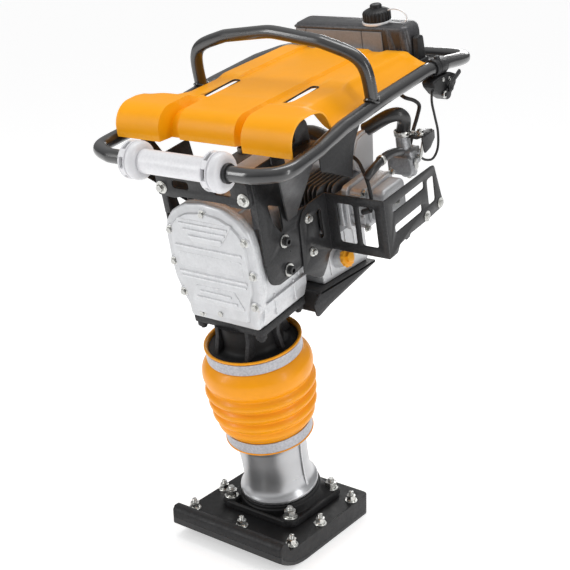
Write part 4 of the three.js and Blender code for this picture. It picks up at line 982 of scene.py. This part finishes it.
MID = dict(vf=-22, top=882, r=42, t=[(48, 881), (84, 879), (120, 876), (240, 872), (432, 862)])
CHA = dict(vf=-15, top=872, r=42, t=[(48, 871), (84, 872), (120, 870), (240, 866), (436, 856)])
SID = dict(vf=-42, top=890, r=50, t=[(48, 889), (84, 876), (120, 871), (240, 866), (440, 856)])


def sec(d):
    vf, top, r = d["vf"], d["top"], d["r"]
    out = [(vf, 832), (vf - 0.4, 832 + (top - r * 0.9 - 832) * 0.5)]
    for i in range(13):
        a = rad(90 * i / 12)
        out.append((vf + r * 0.9 * (1 - cos(a)), top - r * 0.9 * (1 - sin(a))))
    v0 = out[-1][0]
    st = [(v0, top)] + d["t"]
    for (va, wa), (vb, wb), m in zip(st, st[1:], (4, 6, 6, 10, 14)):
        for i in range(1, m + 1):
            t = i / m
            out.append((va + (vb - va) * t, wa + (wb - wa) * (t * t * (3 - 2 * t) if wb < wa - 2 and m == 6 else t)))
    return out


SM, SC, SS = sec(MID), sec(CHA), sec(SID)


def cover_col(x):
    ax = abs(x)
    a, b = crisp(66, 73, ax), crisp(91, 98, ax)
    out = []
    for k in range(len(SM)):
        v = SM[k][0] + (SC[k][0] - SM[k][0]) * a
        w = SM[k][1] + (SC[k][1] - SM[k][1]) * a
        v += (SS[k][0] - v) * b
        w += (SS[k][1] - w) * b
        # raised pad on each side panel behind the rolls
        if v > 180:
            w += 5.5 * crisp(103, 108, ax) * (1 - crisp(160, 170, ax)) * smooth(198, 222, v) * (1 - smooth(420, 436, v) * 0.4)
        t = smooth(152, 206, ax)
        if v <= 30:
            edge = w
        elif v < 88:
            edge = max(838, 828 + math.sqrt(max(0, 60 ** 2 - (v - 30) ** 2)))
        else:
            edge = 838
        w += (min(w, edge) - w) * t
        wk = 1 - 0.07 * smooth(40, 130, v)
        out.append((x * wk, v, w))
    return out


xs = []
for x in (0, 22, 44, 60, 65.2, 66, 66.9, 71.8, 73, 74, 82, 90, 91, 92, 97.2, 98, 98.9, 102, 103, 104.4, 107.4, 108.4, 120, 136, 150, 159.4, 161, 165, 169, 171, 176, 181, 186, 190, 194, 198, 201, 204, 206):
    xs += [x, -x]
xs = sorted(set(xs))
cols = [cover_col(x) for x in xs]
V, F, n = [p for c in cols for p in c], [], len(cols[0])
for i in range(len(cols) - 1):
    for k in range(n - 1):
        F.append([i * n + k, (i + 1) * n + k, (i + 1) * n + k + 1, i * n + k + 1])


def prism_z(outline, z0, z1):
    m = len(outline)
    return [([(x, y, z0) for x, y in outline] + [(x, y, z1) for x, y in outline],
             [list(range(m))[::-1], list(range(m, 2 * m))] + [[i, (i + 1) % m, m + (i + 1) % m, m + i] for i in range(m)], 0)]


def prism_x(outline, x0, x1):
    m = len(outline)
    return [([(x0, y, z) for y, z in outline] + [(x1, y, z) for y, z in outline],
             [list(range(m)), list(range(m, 2 * m))[::-1]] + [[i, m + i, m + (i + 1) % m, (i + 1) % m] for i in range(m)], 0)]


cutters = [prism_z(rrect(86, 104, 92, 198, 6, 4), 820, 900), prism_z(rrect(-104, -86, 92, 198, 6, 4), 820, 900)]
arch = circle(30, 828, 51, 64)
cutters += [prism_x(arch, 186, 260), prism_x(arch, -260, -186)]
skin = carve(carve([(V, F, 0)], [], 3.4), cutters)
piece("engine_hood", skin, ["orange"], "handle", ["top_cover"], angle=24, bevel=0.7)
# dark brackets seen inside the tunnels and the rim around each slot
parts = both(plate("X", fillet([(-34, 812, 3), (82, 812, 3), (80, 850, 20), (58, 872, 20), (8, 876, 20), (-26, 866, 14), (-34, 840, 6)], 5), [rrect(8, 40, 826, 846, 6)], 150, 153, 1.0) + box(153, 176, -6, 78, 813, 816, 1))
piece("hood_brackets", parts, ["powder"], "handle")
parts = []
for s in (1, -1):
    o = rrect(85.2, 104.8, 91.2, 198.8, 6.6, 4)
    i_ = rrect(87, 103, 93, 197, 5.2, 4)
    q = plate("Z", o, [i_], 866, 869, 0.6)
    parts += q if s > 0 else mirror(q)
piece("hood_slot_rims", parts, ["plastic"], "handle")

# ================================================================== fuel tank
def loft(levels, mi=0):
    V, F, n = [], [], len(levels[0][1])
    for w, o in levels:
        V += [(x, v, w) for x, v in o]
    for i in range(len(levels) - 1):
        for k in range(n):
            j = (k + 1) % n
            F.append([i * n + k, i * n + j, (i + 1) * n + j, (i + 1) * n + k])
    F += [list(range(n)), list(range((len(levels) - 1) * n, len(levels) * n))]
    return [(V, F, mi)]


parts = loft([(826.6, rrect(-124, 144, 456, 476, 8, 6)), (830, rrect(-129, 149, 451, 482, 11, 6)), (848, rrect(-131, 151, 449, 490, 12, 6)), (868, rrect(-132, 151.6, 447.6, 497, 12, 6)), (888, rrect(-132, 149, 446.6, 501, 12, 6)),
              (898, rrect(-131.6, 146, 446.4, 502, 12, 6)), (902.6, rrect(-128, 143, 448, 501, 12, 6)), (905.2, rrect(-122, 138, 452, 498, 10, 6)), (906, rrect(-114, 131, 459, 491, 7, 6))])
for (xa, xb) in ((114, 102), (142, 134)):
    parts += rod((xa, 452, 832), (xb, 454, 899), 9.4, 40, 5)
piece("fuel_tank_body", parts, ["tank"], "handle", ["fuel_tank"])
parts = []
for x0, x1 in ((-125, -99), (-97.6, 40), (41.4, 88)):
    parts += box(x0, x1, 443.6, 448, 846, 894, 1.4, 3)
piece("fuel_tank_panel", parts, ["panel"], "handle")
piece("fuel_tank_band", box(-128, 92, 444.0, 450, 895.4, 900.8, 2.0, 3), ["tank"], "handle")
piece("tank_end_bracket", plate("X", fillet([(450, 806, 3), (484, 806, 3), (478, 884, 8), (456, 884, 5)], 4), [], 152.5, 166, 3.0, 3) + box(150, 172, 452, 482, 806, 838, 3, 3), ["plastic"], "handle")
parts = lathe([(20, 904), (30, 904), (31, 905), (31, 908.4), (30, 909.4), (20, 909.4)], 64, at=(62, 476, 0), closed=True)
piece("tank_neck_ring", parts, ["clear"], "handle")
piece("cap_tether", tube(spline([(90, 476, 930), (100, 475, 933), (116, 473, 933), (131, 470, 928), (138, 468, 919), (133, 467, 911), (118, 468, 907.8), (100, 470, 907.4), (90, 472, 907.4)], 8), 1.5, 14), ["clear"], "handle")
# cap: ribbed skirt, domed crown and grip knob
n = 192
V, F, rings = [], [], []
for r, w, rib_ in ((18, 909.6, 0), (27.4, 909.6, 0.4), (28.2, 910.6, 1), (28.2, 925.0, 1), (27.0, 927.6, 0.8), (23.6, 930.2, 0.2), (19.0, 932.4, 0), (13.4, 934.2, 0), (12.6, 935.4, 0), (12.0, 940.4, 0), (10.4, 942, 0)):
    idx = []
    for i in range(n):
        a = 2 * pi * i / n
        q = r + rib_ * 0.9 * (1 if (i * 24 // n * 1.0 + 0, (i % 8) < 4)[1] else -0.9)
        idx.append(len(V))
        V.append((62 + q * cos(a), 476 + q * sin(a), w))
    rings.append(idx)
for a, b in zip(rings, rings[1:]):
    for i in range(n):
        j = (i + 1) % n
        F.append([a[i], a[j], b[j], b[i]])
F += [list(rings[0]), list(rings[-1])]
piece("fuel_filler_cap", [(V, F, 0)], ["plastic"], "tank_cap", ["fuel_cap"], angle=32, bevel=0.25)

# ================================================================== throttle
d0, d1 = Vector((207.6, 428, 831.2)), Vector((208, 468, 826.8))
dd = (d1 - d0).normalized()
L = (d1 - d0).length
parts = along(lathe([(14.4, 0), (16.6, 0), (17.6, 1.4), (17.6, 12), (16.9, 12.6), (16.9, 14.0), (17.6, 14.6), (17.6, L - 1.4), (16.6, L), (14.4, L)], 48, closed=True), tuple(d0), tuple(d1))
parts += plate("X", fillet([(402, 812, 4), (406, 800, 6), (424, 780, 8), (456, 757, 9), (470, 768, 8), (490, 782, 7), (494, 800, 7), (474, 810, 5), (430, 815, 4)], 5), [], 197, 225, 3.0, 4)
parts += rod((211, 446, 812), (211, 446, 851), 6.0, 24, 1.5)
parts += rod((225, 450, 774), (229.4, 450, 774), 11, 40, 1.6)
piece("throttle_body", parts, ["plastic"], "handle", ["throttle_housing"])
parts = rod((224, 440, 806), (227, 440, 806), 4.4, 24, 0.8) + rod((224, 464, 800), (227, 464, 800), 4.4, 24, 0.8)
parts += lathe([(4.2, 226), (7.0, 226), (7.4, 226.4), (7.4, 228.6), (7, 229), (4.2, 229)], 32, "x", (0, 438, 776), closed=True)
piece("throttle_screws", parts, ["zinc"], "handle")
parts = plate("X", fillet([(449, 776, 6), (463, 777, 6), (465, 790, 5), (500, 801, 5), (496, 811, 5), (449, 794, 7)], 5), [], 229.6, 233.4, 1.4, 3)
parts += rod((210, 456, 784), (236, 456, 784), 4.8, 32, 1)
piece("throttle_arm", parts, ["plastic"], "throttle", ["throttle_lever"])
path = spline([(211, 429.2, 798), (211, 418, 790), (211.5, 412, 770), (212, 417, 738), (212, 424, 700), (212, 416, 666), (210, 398, 653), (206.5, 376, 659), (204, 363, 669), (204, 357.6, 672)], 8)
piece("control_cable", tube(path, 2.5, 20), ["rubber"], None, ["throttle_cable"], angle=60, blend=("handle", "machine", P(211, 429, 798), P(206, 376, 659)))
path = spline([(120, 462, 825.3), (121, 458, 811), (129, 436, 794), (142, 408, 783), (156, 402, 777), (168, 417, 766), (171.5, 428, 752), (174, 414, 736), (177, 390, 717), (179.5, 372, 699), (180, 363, 689.5), (180, 357.5, 687)], 8)
piece("fuel_line", tube(path, 3.9, 24), ["rubber"], None, ["fuel_hose"], angle=60, blend=("handle", "machine", P(121, 458, 811), P(180, 366, 690)))

# ================================================================== engine
XC, WC = -30, 641.5
parts = lathe([(0, 85.5), (60, 85.5), (62, 87), (62, 123), (0, 123)], 72, "v", (XC, 0, WC))
parts += plate("X", rrect(122.4, 292, 560, 706, 14, 6), [], -98, 45, 4.0, 4)
parts += plate("X", fillet([(122, 484, 6), (282, 464, 8), (282, 575, 8), (122, 575, 8)], 4), [], -90, 104, 3.0, 4)
for w in (590, 676):
    parts += box(-60, 46.4, 286, 293, w - 3, w + 3, 1)
parts += box(-92, 106, 124, 280, 564, 572, 2, 3)          # joint flange of the sump
for v in (150, 180, 210, 240):
    parts += box(100, 106.2, v - 2, v + 2, 492, 568, 1)
parts += rod((98, 176, 512.6), (123.6, 176, 520.8), 17, 48, 1.6)
parts += rod((98, 238, 505), (108, 238, 506), 9, 32, 1)
piece("crankcase", parts, ["alu"], "machine", ["engine_block"])
parts = []
for v, w in ((138, 568), (180, 568), (225, 568), (268, 568)):
    parts += bolt((106.2, v, w), (1, 0, 0), 9, 4.4)
parts += bolt((108, 238, 506), (1, 0, 0), 13, 6)
piece("crankcase_screws", parts, ["zinc"], "machine")

# the barrel takes the darker aluminium copy, painted shade
parts = box(45.4, 150, 153.5, 240, 604.5, 667.5, 3, 3)
piece("cylinder_barrel", parts, ["alu_shaded"], "machine", ["cylinder_and_head"])
parts = []
# the fins take the darkened fin aluminium, painted shadow
for i in range(8):
    x = 54 + 10.4 * i
    v0 = 134 if i < 6 else 154.5
    parts += plate("X", rrect(v0, 254, 584, 687, 16, 5), [], x, x + 3.4, 1.1, 2)
piece("cooling_fins", parts, ["fin"], "machine")
parts = plate("X", rrect(163, 282, 590.5, 683.5, 12, 5), [], 144.6, 158, 2, 3)
parts += plate("X", rrect(168, 276, 596, 678, 12, 5), [], 158, 189.6, 3.4, 4)
for w in (606, 624, 650, 668):
    parts += box(160, 188, 163.6, 170, w - 2.4, w + 2.4, 1.2)
piece("cylinder_head", parts, ["alu"], "machine")
parts = plate("X", rrect(180, 268, 602, 678, 14, 6), [], 190.4, 196, 1.4, 3)
parts += plate("X", rrect(184, 264, 606, 674, 14, 6), [], 195, 225.6, 6.5, 6)
parts += plate("X", rrect(196, 252, 618, 662, 10, 6), [], 224, 227, 1.3, 3)
piece("rocker_cover", parts, ["alu"], "machine", ["valve_cover"])
parts = []
for v, w in ((172, 600), (274, 600), (172, 674), (274, 674)):
    parts += bolt((189, v, w), (1, 0, 0), 10, 5.5)
parts += bolt((227, 224, 640), (1, 0, 0), 10, 5)
piece("head_screws", parts, ["zinc"], "machine")
# plug cap and lead
parts = rod((192.5, 158.5, 640), (212, 158.5, 648), 5.8, 32, 1.2)
piece("plug_boot", parts, ["rubber"], "machine", ["spark_plug_cap"])
parts = tube(spline([(209, 159, 648), (214, 160, 662), (206, 170, 690), (186, 186, 712), (160, 206, 724), (130, 216, 728), (108, 218, 726)], 8), 3.6, 20)
piece("plug_lead", parts, ["rubber"], "machine")

prof = [(0, 293), (84, 293), (86.6, 295), (87.6, 300), (87.6, 322), (85.6, 332), (80, 341), (70, 346.6), (56, 349.4), (30, 350), (0, 350)]
parts = lathe(prof, 96, "v", (XC, 0, WC))
for k in range(24):
    a = 2 * pi * k / 24
    parts += [([(XC + r * cos(a) - o * sin(a), v, WC + r * sin(a) + o * cos(a)) for v in (346.6, 350.6) for r, o in ((36, -2), (66, -2.6), (66, 2.6), (36, 2))],
               [[0, 1, 2, 3], [4, 5, 6, 7], [0, 1, 5, 4], [1, 2, 6, 5], [2, 3, 7, 6], [3, 0, 4, 7]], 0)]
piece("starter_cover", parts, ["plastic"], "machine", ["recoil_cover"])
parts = []
for a in (45, 135, 225, 315):
    parts += bolt((XC + 79 * cos(rad(a)), 340, WC + 79 * sin(rad(a))), (0, 1, 0), 8, 4)
piece("starter_screws", parts, ["zinc"], "machine")
parts = rod((-2, 352, 700), (-2, 366, 700), 4, 24, 1)
parts += plate("X", rrect(364, 376, 684, 716, 5.6, 5), [], -13.5, 9.5, 4, 4)
piece("starter_grip", parts, ["plastic"], "recoil_grip", ["recoil_handle"])
# the starter rope, drawn out between the cover and the grip
piece("starter_rope", tube([(-2, 338 + k * 0.5, 700) for k in range(37)], 1.9, 16), ["rubber"], None, blend=("machine", "recoil_grip", P(-2, 340, 700), P(-2, 355, 700)))
parts = plate("X", rrect(176, 280, 606, 694, 20, 6), [], -168, -112, 8, 5)
for k in range(6):
    parts += box(-169.4, -166, 196, 260, 624 + k * 10, 628 + k * 10, 1)
parts += rod((-113, 228, 650), (-98.4, 228, 650), 13, 32, 1)
parts += lathe([(7.6, 690), (10, 690), (10, 703), (9.4, 704), (7.6, 704)], 32, at=(-150, 236, 0), closed=True)
piece("silencer", parts, ["exhaust"], "machine", ["muffler"])

# carburettor
# the body takes the darker aluminium copy, painted shade
parts = box(168.4, 209.6, 318, 356, 664, 699.6, 4, 3)
parts += plate("Y", rrect(161, 213.4, 652.6, 690, 7, 4), [], 307, 318.4, 1.4)
parts += lathe([(10.5, 694), (14.5, 694), (14.5, 722), (13.6, 726), (10.5, 726)], 40, at=(186, 333, 0), closed=True)
parts += lathe([(0, 639), (9, 640), (15.4, 642.6), (17.2, 647), (17.2, 664), (0, 666)], 40, at=(190, 336.5, 0))
parts += rod((206, 330, 676), (213, 330, 676), 6.4, 28, 1) + rod((206, 350, 690), (211.6, 350, 690), 4.4, 24, 0.8)
piece("carburettor_body", parts, ["alu_shaded", "zinc"], "machine", ["carburettor"])
parts = hexhead((190, 336.5, 640), (0, 0, -1), 9, 5)
parts += rod((212.4, 330, 676), (214.2, 330, 676), 4.4, 24, 0.5)
parts += plate("X", fillet([(322, 660, 3), (334, 660, 3), (336, 672, 3), (320, 680, 3)], 3), [], 213.6, 215.2, 0.5)
piece("carburettor_fittings", parts, ["zinc"], "machine")
parts = rod((210.5, 340, 682), (216, 340, 682), 4.2, 28, 0.8)
parts += plate("X", fillet([(335, 677, 3), (345, 677, 3), (364, 708, 5), (354, 714, 5)], 4), [], 216, 218.6, 0.8)
piece("choke_arm", parts, ["zinc"], "choke", ["choke_lever"])
# intake hose, clamp and the bracket plate beside it
path = spline([(132, 285, 751), (147, 288, 759), (163, 293, 769), (181, 302, 778), (194, 314, 778), (197, 326, 765), (192, 332, 747), (188, 333, 735), (187, 333, 727.4)], 9)
piece("air_hose", tube(path, 13.8, 40), ["hose"], None, ["intake_hose"], angle=60, blend=("handle", "machine", P(147, 288, 759), P(188, 333, 747)))
path = spline([(197, 176, 703), (203, 188, 713), (205, 206, 719), (205, 232, 723), (205, 258, 721), (203, 284, 713), (198, 304, 704)], 9)
piece("breather_hose", tube(path, 8.4, 32), ["hose"], "machine", angle=60)
piece("breather_clamps", lathe([(8.6, -4), (9.8, -4), (10.2, -3.4), (10.2, 3.4), (9.8, 4), (8.6, 4)], 40, "v", (205, 222, 721.6), closed=True), ["zinc"], "machine")
parts = lathe([(14.8, 727), (16.4, 727), (16.8, 727.6), (16.8, 737), (16.4, 737.6), (14.8, 737.6)], 56, at=(186, 333, 0), closed=True)
parts += box(200, 214, 329, 337, 728, 737, 1.4, 2) + rod((207, 325, 732.4), (207, 341, 732.4), 2.6, 20)
piece("hose_clamp", parts, ["zinc"], "machine")
parts = plate("Z", fillet([(204, 322, 4), (228, 318, 4), (238, 350, 5), (232, 374, 5), (206, 366, 4)], 4), [], 727, 730, 0.9) + plate("X", fillet([(330, 694, 5), (352, 698, 5), (372, 712, 4), (372, 729, 3), (324, 729, 3)], 4), [], 233, 236, 0.9)
piece("control_bracket", parts, ["powder"], "machine")
piece("control_bracket_screws", bolt((214, 352, 730), (0, 0, 1), 8, 3.4) + bolt((225, 336, 730), (0, 0, 1), 8, 3.4), ["zinc"], "machine")

# air filter behind the right rail
D = fillet([(221, 730, 8), (240, 754, 8), (262, 758, 8), (283, 755, 8), (300, 746, 8), (288, 673, 8), (255, 671, 8), (226, 692, 8)], 4)
c = (258, 718)
Di = [(c[0] + (v - c[0]) * 0.86, c[1] + (w - c[1]) * 0.86) for v, w in D]
parts = plate("X", D, [], 132.2, 140.6, 1.8, 3) + plate("X", Di, [], 139, 143.4, 1.6, 3)
parts += plate("X", rrect(232, 286, 699.4, 748, 12, 5), [], 62, 133, 3, 3)
piece("air_cleaner", parts, ["grey"], "handle", ["air_filter"])

# oil filler cap
ax0, ax1 = Vector((124.6, 176, 521.4)), Vector((132.6, 176, 524))
parts = along(lathe([(0, 0), (17.4, 0), (18, 0.8), (18, 5.6), (17, 8), (14, 8.8), (0, 8.8)], 60), tuple(ax0), tuple(ax1))
u = (ax1 - ax0).normalized()
for k in range(12):
    a = 2 * pi * k / 12
    nn = Vector((0, 1, 0))
    mm = u.cross(nn)
    c = ax0 + (nn * cos(a) + mm * sin(a)) * 17.6
    parts += rod(tuple(c + u * 0.6), tuple(c + u * 7), 2.2, 14, 0.8)
parts += hexhead(tuple(ax0 + u * 8.2), tuple(u), 19, 7, chamfer=0.6)
piece("oil_filler", parts, ["yellow"], "oil_cap", ["oil_filler_cap"])

# engine plate and the rubber block
parts = plate("X", [(88, 487.6), (284, 462.2), (284, 456.6), (88, 482)], [], -92, 119, 1.0)
parts += plate("Y", rrect(-60, 60, 452, 489, 5, 3), [], 88.2, 93.8, 1)
f = fillet([(88, 487.8, 2), (283, 462.2, 2), (283, 457, 3), (112, 447, 14), (66, 439.6, 12), (64, 470, 10)], 5)
for x in (115.8, -92.2):
    parts += plate("X", f, [], min(x, x + 3.2), max(x, x + 3.2), 0.8)
piece("engine_tray", parts, ["powder"], "machine", ["engine_plate"])
parts = plate("X", fillet([(94.4, 478.8, 2), (142, 472.6, 2), (130, 434, 6), (98, 428, 6)], 4), [], 44, 102, 3.5, 4)
for k in range(3):
    parts += box(43.2, 102.8, 99 + k * 9, 102 + k * 9, 440, 468, 1)
piece("bump_stop", parts, ["rubber"], "machine", ["engine_mount_block"])
parts = []
for v in (130, 240):
    for x in (-60, 90):
        w = 487.6 - (v - 88) * 25.4 / 196
        parts += bolt((x, v, w - 6.2), (0, -0.128, -1), 11, 5.5, washer=9)
piece("engine_screws", parts, ["zinc"], "machine")

# ================================================================== engine guard
parts = plate("X", fillet([(58, 650, 8), (70, 668, 8), (92, 677, 4), (148.8, 677, 1), (148.8, 555, 1), (138, 551, 6), (120, 527, 8), (106, 515, 8), (92, 517, 8), (50, 549, 6)], 5),
              [circle(84, 650, 4.2), circle(84, 580, 4.2), rrect(113, 127, 592, 652, 6.5, 5)], 115.4, 118.4, 0.9)
parts += plate("Y", [(115.6, 555), (250.8, 555), (250.8, 676), (115.6, 676)], [rrect(142, 180, 575, 658, 6, 5), rrect(192, 228, 575, 658, 6, 5)], 146, 149, 0.9)
parts += plate("X", fillet([(146.2, 555, 2), (176, 555, 8), (186, 568, 6), (206, 570, 6), (210, 566, 3), (222, 567, 3), (226, 572, 4), (292, 571, 4), (340, 573, 6), (356, 582, 8), (334, 671, 10), (322, 673, 4), (146.2, 676, 2)], 5),
               [rrect(174, 290, 640, 656, 5, 4), rrect(176, 276, 597, 613, 5, 4), rrect(302, 328, 598, 652, 6, 4)], 248, 251, 0.9)
# rolled corners between the three panels
parts += rod((117.4, 147.4, 556), (117.4, 147.4, 676), 1.9, 20, 0.5) + rod((249.2, 147.6, 556), (249.2, 147.6, 675.6), 1.9, 20, 0.5)
piece("engine_cage", parts, ["powder"], "handle", ["engine_guard"])
parts = []
for v, w in ((344, 585), (290, 580)):
    parts += along(lathe([(0, 0), (11, 0), (11, 1.6), (0, 1.6)], 28), (251, v, w), (252, v, w))
    parts += hexhead((252.4, v, w), (1, 0, 0), 11, 3.4) + hexhead((248, v, w), (-1, 0, 0), 11, 4)
piece("guard_rear_screws", parts, ["zinc"], "handle")

# ================================================================== floor, world, lamps
fm = bpy.data.meshes.new("floor")
bm = bmesh.new()
bmesh.ops.create_grid(bm, x_segments=2, y_segments=2, size=30)
bm.to_mesh(fm)
bm.free()
floor = bpy.data.objects.new("floor", fm)
bpy.context.scene.collection.objects.link(floor)
m = bpy.data.materials.new("floor")
m.use_nodes = True
m.node_tree.nodes["Principled BSDF"].inputs["Base Color"].default_value = (0.84, 0.84, 0.84, 1)
m.node_tree.nodes["Principled BSDF"].inputs["Emission Color"].default_value = (1, 1, 1, 1)
m.node_tree.nodes["Principled BSDF"].inputs["Emission Strength"].default_value = 0.46
m.node_tree.nodes["Principled BSDF"].inputs["Roughness"].default_value = 0.75
fm.materials.append(m)
floor.location = (0, 0, -0.0006)
w = bpy.data.worlds.new("world")
bpy.context.scene.world = w
w.use_nodes = True
nt = w.node_tree
bg = nt.nodes["Background"]
sep = nt.nodes.new("ShaderNodeSeparateXYZ")
tc = nt.nodes.new("ShaderNodeTexCoord")
nt.links.new(tc.outputs["Generated"], sep.inputs[0])
rp = nt.nodes.new("ShaderNodeValToRGB")
mr = nt.nodes.new("ShaderNodeMapRange")
mr.inputs["From Min"].default_value = -1
mr.inputs["From Max"].default_value = 1
nt.links.new(sep.outputs["Z"], mr.inputs["Value"])
nt.links.new(mr.outputs["Result"], rp.inputs["Fac"])
rp.color_ramp.elements[0].position = 0.0
rp.color_ramp.elements[0].color = (0.9, 0.9, 0.9, 1)
rp.color_ramp.elements[1].position = 1.0
rp.color_ramp.elements[1].color = (1.15, 1.15, 1.15, 1)
e = rp.color_ramp.elements.new(0.5)
e.color = (0.16, 0.16, 0.165, 1)
nt.links.new(rp.outputs["Color"], bg.inputs["Color"])
bg.inputs["Strength"].default_value = 0.75


def lamp(name, pos, target, sx, sy, power):
    L_ = bpy.data.lights.new(name, "AREA")
    L_.shape = "RECTANGLE"
    L_.size, L_.size_y, L_.energy = sx, sy, power
    o = bpy.data.objects.new(name, L_)
    o.matrix_world = Matrix.Translation(pos) @ (Vector(pos) - Vector(target)).to_track_quat("Z", "Y").to_matrix().to_4x4()
    bpy.context.scene.collection.objects.link(o)
    return o


lamps = [lamp("left_box", (-1.6, -2.2, 1.7), (0, 0, 0.5), 0.45, 1.7, 22),
         lamp("right_box", (2.6, -0.2, 1.3), (0, 0, 0.55), 0.3, 1.9, 17),
         lamp("top_box", (0.2, 0.3, 2.9), (0, 0, 0.5), 0.5, 1.8, 20),
         lamp("back_box", (-0.6, 2.4, 1.6), (0, 0.1, 0.6), 1.4, 0.5, 14)]
